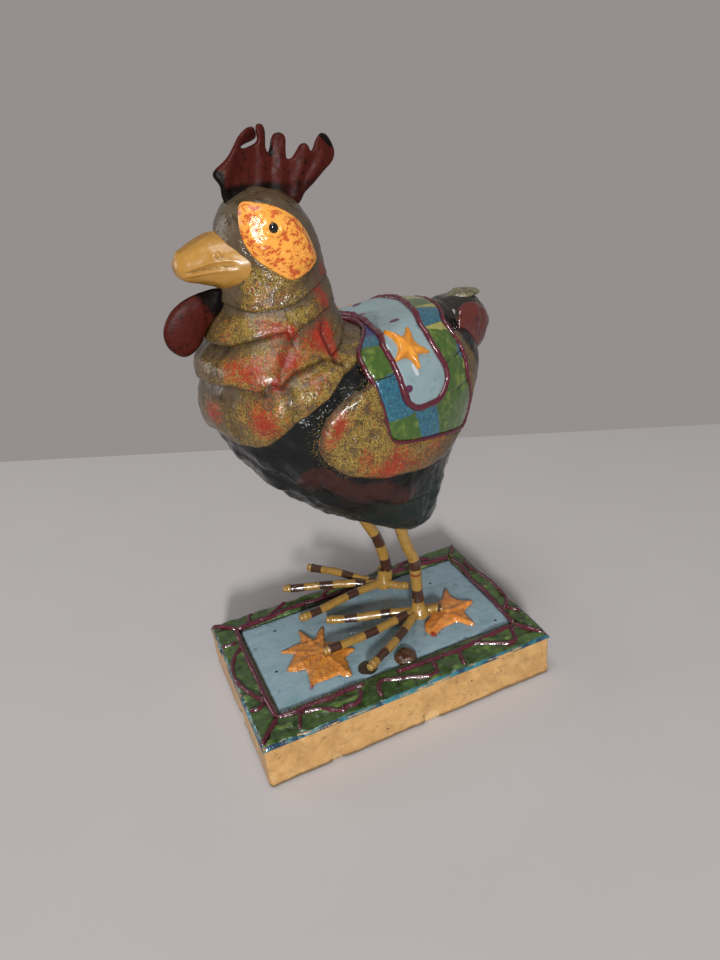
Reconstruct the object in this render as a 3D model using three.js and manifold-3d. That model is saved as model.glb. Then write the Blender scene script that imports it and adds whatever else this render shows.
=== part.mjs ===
// Painted and varnished rooster figurine: a cast bird with sheet-metal comb and wattles,
// standing on wire legs over a cast base with a raised border and relief stars.
// Millimetres, +Z up. Origin at the middle of the base's underside; the bird faces -Y,
// and its left side is +X.
import * as THREE from 'three';
import { mergeVertices } from 'three/addons/utils/BufferGeometryUtils.js';
import Module from 'manifold-3d';

const wasm = await Module();
wasm.setup();

// Fits
const clearance = 0.3; // gap between pieces that are set into or onto each other
const overrun = 4; // how far a cutting solid runs past what it cuts

// Base
const baseLength = 100;
const baseWidth = 64;
const baseHeight = 16.6;
const borderThickness = 1.3;
const panelThickness = 0.5;
const leftBorder = 12.2;
const rightBorder = 7.5;
const frontBorder = 8.7;
const rearBorder = 6;
const railWidth = 1.4;
const vineWidth = 1.2;
const vineRise = 0.5;
const vinePitch = 23;

// Relief on the base's panel
const starRise = 1.3;
const frontStarInset = 21.8; // from the panel's front edge to the star's middle
const rearStarInset = 18.5; // from the panel's rear edge to the star's middle
const moundRadius = 3.3;
const moundRise = 1.6;
const moundInset = 3.8; // from the panel's left edge
const moundY = 3.6;

// Bird
const birdLength = 81.3; // breast to rump
const birdWidth = 57.6;
const birdHeight = 115; // belly tip to crown
const legClear = 30; // belly tip above the base's top
const birdY = 2.85;
const featherLap = 1.2; // how far each feather band's hem stands out over the next
const wingThickness = 1.9;
const wingLength = 62;
const wingHeight = 33.6;
const wingY = -19.2;
const wingZ = 33.8;

// Legs and feet
const legRadius = 2;
const toeRadius = 1.5;
const ankleRadius = 3.4;
const ankleHeight = 9;
const legRise = 43;
const legSweep = 8;
const leftFootX = 10.6;
const leftFootY = 14.15;
const rightFootX = -11.2;
const rightFootY = 10.35;
const rightFootInset = 4.3; // from the panel's right edge
const leftFootTurn = 4;
const rightFootTurn = -22.8;
const sideToeLength = 32.3;
const middleToeLength = 36.9;
const rearToeLength = 10;
const outerToeLift = 1.4;

// Head pieces
const combLength = 33.6;
const combHeight = 19.6;
const combThickness = 1.2;
const combY = -28.6;
const combZ = 109.6;
const wattleLength = 19;
const wattleHeight = 16;
const wattleThickness = 1.2;
const wattleSpacing = 6;
const wattleY = -49;
const wattleZ = 76.4;
const beakLength = 18.4;
const beakHeight = 14.6;
const beakWidth = 22;
const beakY = -42.4;
const beakZ = 91.4;
const mouthRise = 6.3;
const patchLength = 18.1;
const patchHeight = 18.9;
const patchThickness = 1;
const patchY = -26.7;
const patchZ = 93.2;
const eyeRadius = 1.4;

// Saddle
const saddleLength = 37.8;
const saddleDrop = 36;
const saddleThickness = 1.1;
const saddleY = -3.85;
const saddleZ = 41.3;
const ropeWidth = 1.7;
const ropeRise = 0.8;
const panelRise = 0.4;
const panelLength = 17.8;
const panelDrop = 20.5;
const panelY = 3.75;
const panelZ = 56.9;
const saddleStarRadius = 6.3;
const saddleStarRise = 1.2;
const saddleStarX = 23.6;
const saddleStarY = 10.4;
const saddleStarZ = 72.4;

// Tail
const tailLength = 16.6;
const tailHeight = 16.5;
const tailWidth = 21;
const tailY = 31.4;
const tailZ = 58.6;
const tailPatchThickness = 0.9;
const crestLength = 11;
const crestWidth = 8;
const crestHeight = 4.4;
const crestSetback = 5.2; // behind the tail's root
const crestLift = 0.3; // above the tail's top

// Facets
const spokes = 32;
const ringsPerStation = 2;
const wireSides = 10;
const wireSteps = 14;
const vineSteps = 12; // along one wave of a vine
const domeSteps = 5;

// Places that follow from the sizes
const blockTop = baseHeight - borderThickness;
const panelTop = blockTop + panelThickness;
const birdZ = baseHeight + legClear;
const toePlane = baseHeight + vineRise + clearance + toeRadius - birdZ;
const footGround = panelTop + clearance - birdZ;
const innerLeft = baseWidth / 2 - leftBorder;
const innerRight = -baseWidth / 2 + rightBorder;
const innerFront = -baseLength / 2 + frontBorder;
const innerRear = baseLength / 2 - rearBorder;
const panelWidth = innerLeft - innerRight;
const birdX = innerRight + rightFootInset - rightFootX;

// The bird's outline from crown to belly tip. Each row is one station: its front point's
// y and z and its back point's y and z, as shares of the bird's length and height, then
// its half width as a share of half the bird's width, and how far the widest place leans
// to the back.
const stationShares = [
  [-0.244, 0.999, -0.232, 1.002, 0.017, 0],
  [-0.33, 0.971, -0.146, 0.986, 0.312, 0],
  [-0.373, 0.925, -0.084, 0.943, 0.41, 0],
  [-0.392, 0.864, -0.054, 0.882, 0.451, 0],
  [-0.394, 0.803, -0.039, 0.821, 0.465, 0],
  [-0.416, 0.738, -0.023, 0.738, 0.538, 0],
  [-0.468, 0.669, 0.019, 0.656, 0.667, -0.05],
  [-0.5, 0.595, 0.119, 0.642, 0.806, -0.2],
  [-0.5, 0.525, 0.279, 0.665, 0.91, -0.22],
  [-0.48, 0.447, 0.42, 0.625, 0.979, -0.18],
  [-0.429, 0.364, 0.494, 0.525, 1, -0.18],
  [-0.33, 0.273, 0.468, 0.421, 0.972, -0.18],
  [-0.193, 0.183, 0.423, 0.317, 0.885, -0.15],
  [-0.028, 0.11, 0.361, 0.203, 0.712, -0.1],
  [0.1, 0.048, 0.297, 0.09, 0.458, 0],
  [0.188, 0.002, 0.211, 0.006, 0.028, 0],
];

// Seams between the feather bands: shares of the way from crown to belly tip, at equal
// turns from the nape round to the breast.
const chinShares = [0.283, 0.283, 0.283, 0.283, 0.283, 0.283];
const neckShares = [0.333, 0.34, 0.352, 0.362, 0.38, 0.387];
const collarShares = [0.377, 0.392, 0.44, 0.463, 0.478, 0.465];
const breastShares = [0.425, 0.44, 0.478, 0.552, 0.605, 0.575];
const crownShares = [0, 0, 0, 0, 0, 0];
const tipShares = [1, 1, 1, 1, 1, 1];

// The eye's place on the skin: a share of the way down, and a share of half a turn.
const eyeShare = 0.148;
const eyeTurnShare = 0.511;

// Outlines in the side view, as shares of each piece's own length and height.
const combShares = [
  [0, 0.46], [0.03, 0.36], [0.12, -0.02], [0.3, 0.0], [0.44, -0.02], [0.6, -0.14], [0.66, -0.1],
  [0.7, 0.12], [0.84, 0.28], [0.95, 0.44], [1, 0.62], [0.98, 0.74], [0.92, 0.79], [0.86, 0.76],
  [0.81, 0.62], [0.78, 0.6], [0.73, 0.7], [0.69, 0.68], [0.66, 0.58], [0.6, 0.51], [0.59, 0.72],
  [0.56, 0.84], [0.51, 0.86], [0.48, 0.76], [0.45, 0.62], [0.44, 0.84], [0.42, 0.96], [0.38, 0.97],
  [0.345, 0.8], [0.315, 0.81], [0.3, 0.96], [0.25, 0.96], [0.22, 0.82], [0.15, 0.63],
];
const wattleShares = [
  [1, 0.74], [1.1, 0.86], [1.06, 0.98], [0.93, 0.99], [0.72, 0.98], [0.45, 0.97], [0.2, 0.84],
  [0.04, 0.58], [0, 0.34], [0.06, 0.12], [0.2, 0], [0.34, 0.04], [0.5, 0.18], [0.68, 0.44],
  [0.88, 0.66],
];
const patchShares = [
  [0.02, 0.89], [0.1, 0.99], [0.31, 1], [0.57, 0.91], [0.82, 0.69], [0.95, 0.41], [1, 0.19],
  [0.95, 0.07], [0.73, 0], [0.54, 0.01], [0.25, 0.2], [0.06, 0.43], [0, 0.73],
];
const wingShares = [
  [0.25, 0.96], [0.16, 0.9], [0.09, 0.77], [0.02, 0.62], [0.0, 0.48], [0.06, 0.3], [0.17, 0.15],
  [0.3, 0.06], [0.49, 0], [0.68, 0], [0.83, 0.06], [0.95, 0.22], [1, 0.4], [0.8, 0.42],
  [0.5, 0.9],
];
const saddleFrontShares = [
  [0.13, 1.14], [0.05, 0.98], [0, 0.85], [0.02, 0.77], [0.06, 0.59], [0.09, 0.42], [0.11, 0.25],
];
const saddleHemShares = [[0.15, 0.19], [0.28, 0.17], [0.53, 0.11], [0.88, 0], [0.97, 0.03]];
const saddleRearShares = [[1, 0.19], [0.98, 0.34], [0.94, 0.5], [0.91, 0.72], [0.82, 0.92], [0.81, 1.14]];
const panelFrontShares = [
  [0.15, 1.2], [0.11, 0.98], [0, 0.84], [0.06, 0.67], [0.1, 0.42], [0.18, 0.15],
];
const panelHemShares = [[0.26, 0.05], [0.38, 0], [0.74, 0], [0.89, 0.08]];
const panelRearShares = [
  [1, 0.2], [0.98, 0.36], [0.89, 0.53], [0.83, 0.71], [0.81, 0.88], [0.71, 1], [0.66, 1.2],
];
const beakShares = [
  [0, 0.44, 0.62, 0.2], [0.08, 0.3, 0.76, 0.38], [0.24, 0.2, 0.87, 0.54], [0.46, 0.11, 0.965, 0.72],
  [0.68, 0.03, 1, 0.87], [1, 0, 1, 1],
];
const tailShares = [
  [0, 0, 1, 1], [0.4, 0, 1, 0.9], [0.68, 0.06, 1, 0.74], [0.88, 0.16, 0.9, 0.54],
  [1, 0.34, 0.72, 0.26],
];
const tailPatchShares = [[0.46, 0.72], [0.92, 0.82], [0.98, 0.42], [0.86, 0.12], [0.66, 0.3]];
const crestShares = [[0, 0.1], [0.2, 0.7], [0.55, 0.95], [0.85, 0.85], [1, 0.2]];

// Each relief star's radius as a share of the panel's width, and how far it stands to the
// left of the panel's middle as a share of that width.
const frontStarShares = { radius: 0.375, across: 0.098 };
const rearStarShares = { radius: 0.266, across: 0.2 };

// Each tip of a star: its direction in degrees, and its reach as a share of the radius.
const frontTipShares = [
  [-122, 0.9], [-79, 0.83], [-35, 1], [21, 0.86], [64, 0.76], [107, 0.97], [157, 1.05], [193, 0.7],
];
const rearTipShares = [[32, 0.95], [122, 0.77], [165, 0.85], [235, 0.66], [306, 1]];
const saddleTipShares = [[73, 0.96], [11, 0.97], [-60, 1.03], [-143, 1.05], [155, 0.99]];
const starNotchShare = 0.52;

// The way of each leg from its ankle up into the body: forward shares of the sweep, and
// height shares of the rise.
const leftLegShares = [
  [0, 0], [0.02, 0.2], [0.04, 0.46], [0.11, 0.544], [0.31, 0.653], [0.54, 0.816], [0.72, 1],
];
const rightLegShares = [
  [-0.1, 0], [-0.27, 0.14], [-0.22, 0.25], [-0.1, 0.37], [0.06, 0.47], [0.42, 0.63], [0.98, 0.86],
  [1.15, 1],
];

// Profile of an ankle: shares of its radius and of its height, from the bottom up.
const ankleShares = [[0, -0.3], [0.9, -0.3], [1, 0], [0.94, 0.16], [0.76, 0.42], [0.66, 0.7], [0, 0.72]];

// Solids and booleans

function asSolid(geometry) {
  const bare = geometry.clone();
  bare.deleteAttribute('normal');
  bare.deleteAttribute('uv');
  const merged = mergeVertices(bare);
  const vertProperties = new Float32Array(merged.attributes.position.array);
  const triVerts = new Uint32Array(merged.index.array);
  return new wasm.Manifold(new wasm.Mesh({ numProp: 3, vertProperties, triVerts }));
}

function asGeometry(solid) {
  const mesh = solid.getMesh();
  const geometry = new THREE.BufferGeometry();
  geometry.setAttribute('position', new THREE.BufferAttribute(mesh.vertProperties, 3));
  geometry.setIndex(new THREE.BufferAttribute(mesh.triVerts, 1));
  geometry.computeVertexNormals();
  return geometry;
}

// A closed solid through rings of equally many points, with a fan over each end.
function loft(rings) {
  const count = rings[0].length;
  const positions = rings.flat().flatMap((point) => point.toArray());
  const ends = [rings[0], rings[rings.length - 1]];
  for (const ring of ends) {
    const middle = ring.reduce((sum, point) => sum.add(point), new THREE.Vector3());
    positions.push(...middle.divideScalar(count).toArray());
  }
  const firstCap = rings.length * count;
  const lastCap = firstCap + 1;
  const lastRing = firstCap - count;
  const index = [];
  for (let spoke = 0; spoke < count; spoke += 1) {
    const next = (spoke + 1) % count;
    for (let ring = 0; ring < lastRing; ring += count) {
      index.push(ring + spoke, ring + count + spoke, ring + next);
      index.push(ring + next, ring + count + spoke, ring + count + next);
    }
    index.push(firstCap, spoke, next);
    index.push(lastCap, lastRing + next, lastRing + spoke);
  }
  const geometry = new THREE.BufferGeometry();
  geometry.setAttribute('position', new THREE.Float32BufferAttribute(positions, 3));
  geometry.setIndex(index);
  return geometry;
}

function shapeOf(points) {
  return new THREE.Shape(points.map(([a, b]) => new THREE.Vector2(a, b)));
}

// Outline shares placed by a corner and scaled by a length and a height.
function placed(shares, corner, length, height) {
  return shares.map(([a, b]) => [corner[0] + a * length, corner[1] + b * height]);
}

function slab(points, bottom, thickness) {
  const geometry = new THREE.ExtrudeGeometry(shapeOf(points), { depth: thickness, bevelEnabled: false });
  return geometry.translate(0, 0, bottom);
}

// A prism whose outline lies in the side view (y, z) and which runs along X.
function sidePrism(points, from, to) {
  const geometry = new THREE.ExtrudeGeometry(shapeOf(points), { depth: to - from, bevelEnabled: false });
  const turn = new THREE.Matrix4().makeBasis(
    new THREE.Vector3(0, 1, 0),
    new THREE.Vector3(0, 0, 1),
    new THREE.Vector3(1, 0, 0),
  );
  return geometry.applyMatrix4(turn).translate(from, 0, 0);
}

// An open line moved sideways: to its right by a reach, or to its left where that is negative.
function besideLine(points, reach) {
  const line = points.map(([a, b]) => new THREE.Vector2(a, b));
  const normals = line.slice(1).map((point, place) => {
    const along = point.clone().sub(line[place]).normalize();
    return new THREE.Vector2(along.y, -along.x);
  });
  return line.map((point, place) => {
    const before = normals[Math.max(place - 1, 0)];
    const after = normals[Math.min(place, normals.length - 1)];
    const mitre = before.clone().add(after).divideScalar(1 + before.dot(after));
    return point.clone().addScaledVector(mitre, reach).toArray();
  });
}

// A band of even width along an open line of points.
function ribbon(points, width) {
  return besideLine(points, -width / 2).concat(besideLine(points, width / 2).reverse());
}

function rod(from, to, radius, sides) {
  const along = to.clone().sub(from);
  const geometry = new THREE.CylinderGeometry(radius, radius, along.length(), sides);
  const upright = new THREE.Vector3(0, 1, 0);
  const turn = new THREE.Quaternion().setFromUnitVectors(upright, along.clone().normalize());
  const middle = from.clone().add(to).divideScalar(2);
  return geometry.applyQuaternion(turn).translate(middle.x, middle.y, middle.z);
}

function wire(points, radius) {
  const circle = new THREE.Shape();
  circle.absarc(0, 0, radius, 0, Math.PI * 2, false);
  return new THREE.ExtrudeGeometry(circle, {
    steps: wireSteps,
    curveSegments: wireSides / 2,
    extrudePath: new THREE.CatmullRomCurve3(points),
  });
}

function starShape(shares, radius) {
  const points = [];
  shares.forEach(([turn, reach], place) => {
    const next = shares[(place + 1) % shares.length];
    const step = THREE.MathUtils.euclideanModulo(next[0] - turn, 360);
    const signed = step > 180 ? step - 360 : step;
    const tip = THREE.MathUtils.degToRad(turn);
    const notch = THREE.MathUtils.degToRad(turn + signed / 2);
    points.push([Math.cos(tip) * reach * radius, Math.sin(tip) * reach * radius]);
    const inner = starNotchShare * radius;
    points.push([Math.cos(notch) * inner, Math.sin(notch) * inner]);
  });
  return points;
}

// The bird's skin

const lastStation = stationShares.length - 1;
const nudgeShare = 0.001;
const frontLine = new THREE.CatmullRomCurve3(
  stationShares.map(([y, z]) => new THREE.Vector3(0, y * birdLength, z * birdHeight)),
  false,
  'catmullrom',
);
const backLine = new THREE.CatmullRomCurve3(
  stationShares.map(([, , y, z]) => new THREE.Vector3(0, y * birdLength, z * birdHeight)),
  false,
  'catmullrom',
);
const girthLine = new THREE.CatmullRomCurve3(
  stationShares.map(([, , , , half, lean]) => new THREE.Vector3((half * birdWidth) / 2, lean * birdWidth, 0)),
  false,
  'catmullrom',
);

// A point of the skin: the share of the way from crown to belly tip, and the turn from the
// nape (zero) over the left side to the breast (half a turn).
function bareSkin(share, turn) {
  const front = frontLine.getPoint(share);
  const back = backLine.getPoint(share);
  const girth = girthLine.getPoint(share);
  const half = girth.x * (1 + (girth.y / birdWidth) * Math.cos(turn));
  const point = front.lerp(back, (1 + Math.cos(turn)) / 2);
  point.x += half * Math.sin(turn);
  return point;
}

// The same point lifted square to the skin by a rise.
function skinPoint(share, turn, rise) {
  const above = bareSkin(Math.max(share - nudgeShare, 0), turn);
  const below = bareSkin(Math.min(share + nudgeShare, 1), turn);
  const across = bareSkin(share, turn + nudgeShare).sub(bareSkin(share, turn - nudgeShare));
  const outward = across.cross(below.sub(above)).normalize();
  return bareSkin(share, turn).addScaledVector(outward, rise);
}

// The value of a seam at a turn, even on both sides of the bird.
function seamAt(shares, turn) {
  const side = Math.acos(Math.cos(turn)) / Math.PI;
  const points = shares.map((share) => new THREE.Vector3(share, 0, 0));
  return new THREE.CatmullRomCurve3(points, false, 'catmullrom').getPoint(side).x;
}

// A slice of the bird between two seams, lifted by a rise. Its hem stands out by the lap at
// the breast side, and each end that lies at a seam stops short of it by the gap.
function sliceRings(upper, lower, lap, rise, gap) {
  const margin = gap / birdHeight;
  const widest = lower[lower.length - 1] - upper[upper.length - 1];
  const steps = Math.max(3, Math.round(widest * lastStation * ringsPerStation));
  const rings = [];
  for (let step = 0; step <= steps; step += 1) {
    const along = step / steps;
    const ring = [];
    for (let spoke = 0; spoke < spokes; spoke += 1) {
      const turn = (spoke / spokes) * Math.PI * 2;
      const top = seamAt(upper, turn) + (upper === crownShares ? 0 : margin);
      const bottom = seamAt(lower, turn) - (lower === tipShares ? 0 : margin);
      const breastward = (1 - Math.cos(turn)) / 2;
      const lift = rise + lap * along * along * breastward;
      ring.push(skinPoint(top + (bottom - top) * along, turn, lift));
    }
    rings.push(ring.reverse());
  }
  return rings;
}

function band(upper, lower) {
  return asSolid(loft(sliceRings(upper, lower, featherLap, 0, clearance / 2)));
}

function wholeBird(rise) {
  return asSolid(loft(sliceRings(crownShares, tipShares, 0, rise, 0)));
}

// All that lies above the breast seam, to be cut from what lies below it.
function upperBird() {
  const rings = sliceRings(crownShares, breastShares, 0, overrun, -clearance / 2);
  const seam = sliceRings(crownShares, breastShares, 0, 0, -clearance / 2).pop();
  return asSolid(loft([...rings, seam]));
}

// A skin lying over the bird from one height to another.
function shell(from, to) {
  return wholeBird(to).subtract(wholeBird(from));
}

// A piece of such a skin inside a side outline, on one side of the bird or over both.
function sidePatch(points, side, from, to) {
  const start = side === 1 ? clearance : -birdWidth;
  const end = side === -1 ? -clearance : birdWidth;
  return shell(from, to).intersect(asSolid(sidePrism(points, start, end)));
}

// Base pieces

function baseBlock() {
  return new THREE.BoxGeometry(baseWidth, baseLength, blockTop).translate(0, 0, blockTop / 2);
}

function basePanel() {
  const points = [
    [innerRight + clearance, innerFront + clearance],
    [innerLeft - clearance, innerFront + clearance],
    [innerLeft - clearance, innerRear - clearance],
    [innerRight + clearance, innerRear - clearance],
  ];
  return slab(points, blockTop, panelThickness);
}

// The four mitred border strips: the ends of the outer edge, then those of the inner edge.
const outerCorners = [
  [baseWidth / 2, -baseLength / 2],
  [baseWidth / 2, baseLength / 2],
  [-baseWidth / 2, baseLength / 2],
  [-baseWidth / 2, -baseLength / 2],
];
const innerCorners = [
  [innerLeft, innerFront],
  [innerLeft, innerRear],
  [innerRight, innerRear],
  [innerRight, innerFront],
];
const corners = {};
['left', 'rear', 'right', 'front'].forEach((side, place) => {
  const next = (place + 1) % outerCorners.length;
  corners[side] = [outerCorners[place], outerCorners[next], innerCorners[place], innerCorners[next]];
});

function stripCorners(side) {
  const [outerStart, outerEnd, innerStart, innerEnd] = corners[side].map(([x, y]) => new THREE.Vector2(x, y));
  const along = outerEnd.clone().sub(outerStart).normalize();
  outerStart.addScaledVector(along, clearance / 2);
  innerStart.addScaledVector(along, clearance / 2);
  outerEnd.addScaledVector(along, -clearance / 2);
  innerEnd.addScaledVector(along, -clearance / 2);
  return { outerStart, outerEnd, innerStart, innerEnd, along };
}

function borderStrip(side) {
  const { outerStart, outerEnd, innerStart, innerEnd } = stripCorners(side);
  const points = [outerStart, outerEnd, innerEnd, innerStart].map((point) => point.toArray());
  return slab(points, blockTop, borderThickness);
}

// The rail along a strip's inner edge, with a vine that winds between it and the outer edge.
function borderVine(side) {
  const { outerStart, innerStart, innerEnd, along } = stripCorners(side);
  const outward = new THREE.Vector2(along.y, -along.x);
  const strip = outerStart.clone().sub(innerStart).dot(outward);
  const length = innerEnd.distanceTo(innerStart);
  const rail = [
    innerStart.clone(),
    innerEnd.clone(),
    innerEnd.clone().addScaledVector(outward, railWidth),
    innerStart.clone().addScaledVector(outward, railWidth),
  ];
  const low = railWidth - vineWidth / 2;
  const high = strip - vineWidth;
  const waves = Math.max(1, Math.round(length / vinePitch));
  const steps = waves * vineSteps;
  const line = [];
  for (let step = 0; step <= steps; step += 1) {
    const share = step / steps;
    const out = low + ((high - low) * (1 - Math.cos(share * waves * Math.PI * 2))) / 2;
    const inset = vineWidth + share * (length - 2 * vineWidth);
    line.push(innerStart.clone().addScaledVector(along, inset).addScaledVector(outward, out).toArray());
  }
  const railSolid = asSolid(slab(rail.map((point) => point.toArray()), baseHeight, vineRise));
  const vineSolid = asSolid(slab(ribbon(line, vineWidth), baseHeight, vineRise));
  return asGeometry(railSolid.add(vineSolid));
}

function reliefStar(shares, tips, y) {
  const x = (innerLeft + innerRight) / 2 + shares.across * panelWidth;
  const points = starShape(tips, shares.radius * panelWidth);
  let star = asSolid(slab(points, panelTop, starRise).translate(x, y, 0));
  for (const foot of feet) {
    star = star.subtract(asSolid(ankle(foot, clearance).translate(birdX, birdY, birdZ)));
  }
  return asGeometry(star);
}

function mound() {
  const points = [];
  for (let step = 0; step <= domeSteps; step += 1) {
    const turn = ((step / domeSteps) * Math.PI) / 2;
    points.push(new THREE.Vector2(moundRadius * Math.cos(turn), moundRise * Math.sin(turn)));
  }
  points.unshift(new THREE.Vector2(0, 0));
  const dome = new THREE.LatheGeometry(points, spokes / 2);
  return dome.rotateX(Math.PI / 2).translate(innerLeft - moundInset, moundY, panelTop);
}

// Legs and feet, in the bird's frame

// Each toe: its name, its turn in degrees from the middle toe, its length and its lift.
const leftToes = [
  ['inner', -27, sideToeLength, 0],
  ['middle', 0, middleToeLength, 0],
  ['outer', 29, sideToeLength, 0],
  ['rear', 163, rearToeLength, 0],
];
const rightToes = [
  ['outer', -24, sideToeLength, outerToeLift],
  ['middle', 0, middleToeLength, outerToeLift],
  ['inner', 29, sideToeLength, 0],
  ['rear', 158, rearToeLength, 0],
];
const feet = [
  { name: 'left', x: leftFootX, y: leftFootY, turn: leftFootTurn, way: leftLegShares, toes: leftToes },
  { name: 'right', x: rightFootX, y: rightFootY, turn: rightFootTurn, way: rightLegShares, toes: rightToes },
];

function ankle(foot, grow) {
  const profile = ankleShares.map(([r, h]) => {
    const radius = r === 0 ? 0 : r * ankleRadius + grow;
    const height = h * ankleHeight + (h < 0 ? -grow : grow);
    return new THREE.Vector2(radius, Math.max(height, footGround - toePlane - grow));
  });
  const turned = new THREE.LatheGeometry(profile, spokes / 2).rotateX(Math.PI / 2);
  return turned.translate(foot.x, foot.y, toePlane);
}

function legWire(foot, radius) {
  const points = foot.way.map(([forward, up]) => new THREE.Vector3(
    foot.x,
    foot.y - forward * legSweep,
    toePlane + up * legRise,
  ));
  return wire(points, radius);
}

function leg(foot) {
  return asGeometry(asSolid(legWire(foot, legRadius)).subtract(asSolid(ankle(foot, clearance))));
}

function toeRod(foot, [, turn, length, lift], radius) {
  const angle = THREE.MathUtils.degToRad(foot.turn + turn);
  const from = new THREE.Vector3(foot.x, foot.y, toePlane);
  const reach = new THREE.Vector3(Math.sin(angle) * length, -Math.cos(angle) * length, lift);
  return asSolid(rod(from, from.clone().add(reach), radius, wireSides));
}

// A toe ends at the ankle, and a side toe is also mitred where it meets the middle one.
function toe(foot, row) {
  const middle = foot.toes.find(([name]) => name === 'middle');
  const solid = toeRod(foot, row, toeRadius).subtract(asSolid(ankle(foot, clearance)));
  if (row === middle || row[0] === 'rear') return asGeometry(solid);
  return asGeometry(solid.subtract(toeRod(foot, middle, toeRadius + clearance)));
}

// Head pieces

function combPlate(grow) {
  const points = placed(combShares, [combY, combZ], combLength, combHeight);
  const half = combThickness / 2 + grow;
  return asSolid(sidePrism(points, -half, half).translate(0, 0, -grow));
}

function wattlePlate(side, grow) {
  const points = placed(wattleShares, [wattleY, wattleZ], wattleLength, wattleHeight);
  const middle = (side * wattleSpacing) / 2;
  const half = wattleThickness / 2 + grow;
  return asSolid(sidePrism(points, middle - half, middle + half));
}

function eyeBead(side, grow) {
  const seat = skinPoint(eyeShare, side * eyeTurnShare * Math.PI, clearance + patchThickness);
  const bead = new THREE.SphereGeometry(eyeRadius + grow, wireSides, wireSides / 2);
  return asSolid(bead.rotateX(Math.PI / 2).translate(seat.x, seat.y, seat.z));
}

function eyePatch(side) {
  const points = placed(patchShares, [patchY, patchZ], patchLength, patchHeight);
  const patch = sidePatch(points, side, clearance, clearance + patchThickness);
  return asGeometry(patch.subtract(eyeBead(side, clearance)));
}

function beakSolid() {
  const rings = beakShares.map(([y, low, high, half]) => {
    const ring = [];
    for (let spoke = 0; spoke < spokes / 2; spoke += 1) {
      const turn = (spoke / (spokes / 2)) * Math.PI * 2;
      const middle = beakZ + ((low + high) / 2) * beakHeight;
      const rise = ((high - low) / 2) * beakHeight;
      ring.push(new THREE.Vector3(
        (half * beakWidth * Math.cos(turn)) / 2,
        beakY + y * beakLength,
        middle + rise * Math.sin(turn),
      ));
    }
    return ring;
  });
  return asSolid(loft(rings)).subtract(wholeBird(clearance));
}

function beakHalf(upper) {
  const mouth = beakZ + mouthRise;
  const tall = beakHeight + overrun;
  const middle = upper ? mouth + clearance / 2 + tall / 2 : mouth - clearance / 2 - tall / 2;
  const keep = new THREE.BoxGeometry(beakWidth + overrun, beakLength + overrun, tall);
  keep.translate(0, beakY + beakLength / 2, middle);
  return asGeometry(beakSolid().intersect(asSolid(keep)));
}

function head() {
  const skull = asSolid(loft(sliceRings(crownShares, chinShares, 0, 0, clearance / 2)));
  let solid = skull.subtract(combPlate(clearance));
  for (const side of [1, -1]) {
    solid = solid.subtract(wattlePlate(side, clearance)).subtract(eyeBead(side, clearance));
  }
  return asGeometry(solid);
}

function neckBand() {
  const ring = band(chinShares, neckShares);
  return asGeometry(ring.subtract(wattlePlate(1, clearance)).subtract(wattlePlate(-1, clearance)));
}

// Saddle

function saddleOutline() {
  const shares = [...saddleFrontShares, ...saddleHemShares, ...saddleRearShares];
  return placed(shares, [saddleY, saddleZ], saddleLength, saddleDrop);
}

function panelOutline() {
  const shares = [...panelFrontShares, ...panelHemShares, ...panelRearShares];
  return placed(shares, [panelY, panelZ], panelLength, panelDrop);
}

function saddleBlanket() {
  const blanket = sidePatch(saddleOutline(), 0, clearance, clearance + saddleThickness);
  return asGeometry(blanket.subtract(upperBird()));
}

const saddleTop = 2 * clearance + saddleThickness;

// All that lies over or under the blanket in the side view, to be cut from its neighbours.
function saddleCover() {
  return asSolid(sidePrism(besideLine(saddleOutline(), clearance), -birdWidth, birdWidth));
}

// The middle lines of the rope round the blanket and of the cord round the panel.
function ropeLine() {
  return besideLine(saddleOutline(), -ropeWidth / 2);
}

function cordLine() {
  return besideLine(panelOutline(), clearance + ropeWidth / 2);
}

function saddlePanel() {
  return asGeometry(sidePatch(panelOutline(), 0, saddleTop, saddleTop + panelRise).subtract(upperBird()));
}

// A rope laid along such a line, over both sides of the bird.
function saddleRope(line) {
  const rope = sidePatch(ribbon(line, ropeWidth), 0, saddleTop, saddleTop + ropeRise);
  return asGeometry(rope.subtract(upperBird()));
}

function saddleStar(side) {
  const centre = new THREE.Vector3(saddleStarX * side, saddleStarY, saddleStarZ);
  const outward = new THREE.Vector3(side, 0, 1).normalize();
  const points = starShape(saddleTipShares, saddleStarRadius).map(([a, b]) => [a * side, b]);
  const depth = saddleStarRadius;
  const prism = new THREE.ExtrudeGeometry(shapeOf(points), { depth: 2 * depth, bevelEnabled: false });
  const turn = new THREE.Quaternion().setFromUnitVectors(new THREE.Vector3(0, 0, 1), outward);
  prism.translate(0, 0, -depth).applyQuaternion(turn).translate(centre.x, centre.y, centre.z);
  const from = saddleTop + panelRise + clearance;
  const star = shell(from, from + saddleStarRise).intersect(asSolid(prism));
  const cord = sidePrism(ribbon(cordLine(), ropeWidth + 2 * clearance), -birdWidth, birdWidth);
  return asGeometry(star.subtract(asSolid(cord)));
}

// Tail

function tailLoft(grow) {
  const rings = tailShares.map(([y, low, high, half], place) => {
    const ring = [];
    const end = place === tailShares.length - 1 ? grow : 0;
    for (let spoke = 0; spoke < spokes / 2; spoke += 1) {
      const turn = (spoke / (spokes / 2)) * Math.PI * 2;
      const middle = tailZ + ((low + high) / 2) * tailHeight;
      const rise = ((high - low) / 2) * tailHeight + grow;
      ring.push(new THREE.Vector3(
        ((half * tailWidth) / 2 + grow) * Math.cos(turn),
        tailY + y * tailLength + end,
        middle + rise * Math.sin(turn),
      ));
    }
    return ring;
  });
  return asSolid(loft(rings));
}

function tailStub() {
  return asGeometry(tailLoft(0).subtract(wholeBird(clearance)).subtract(saddleCover()));
}

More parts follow.
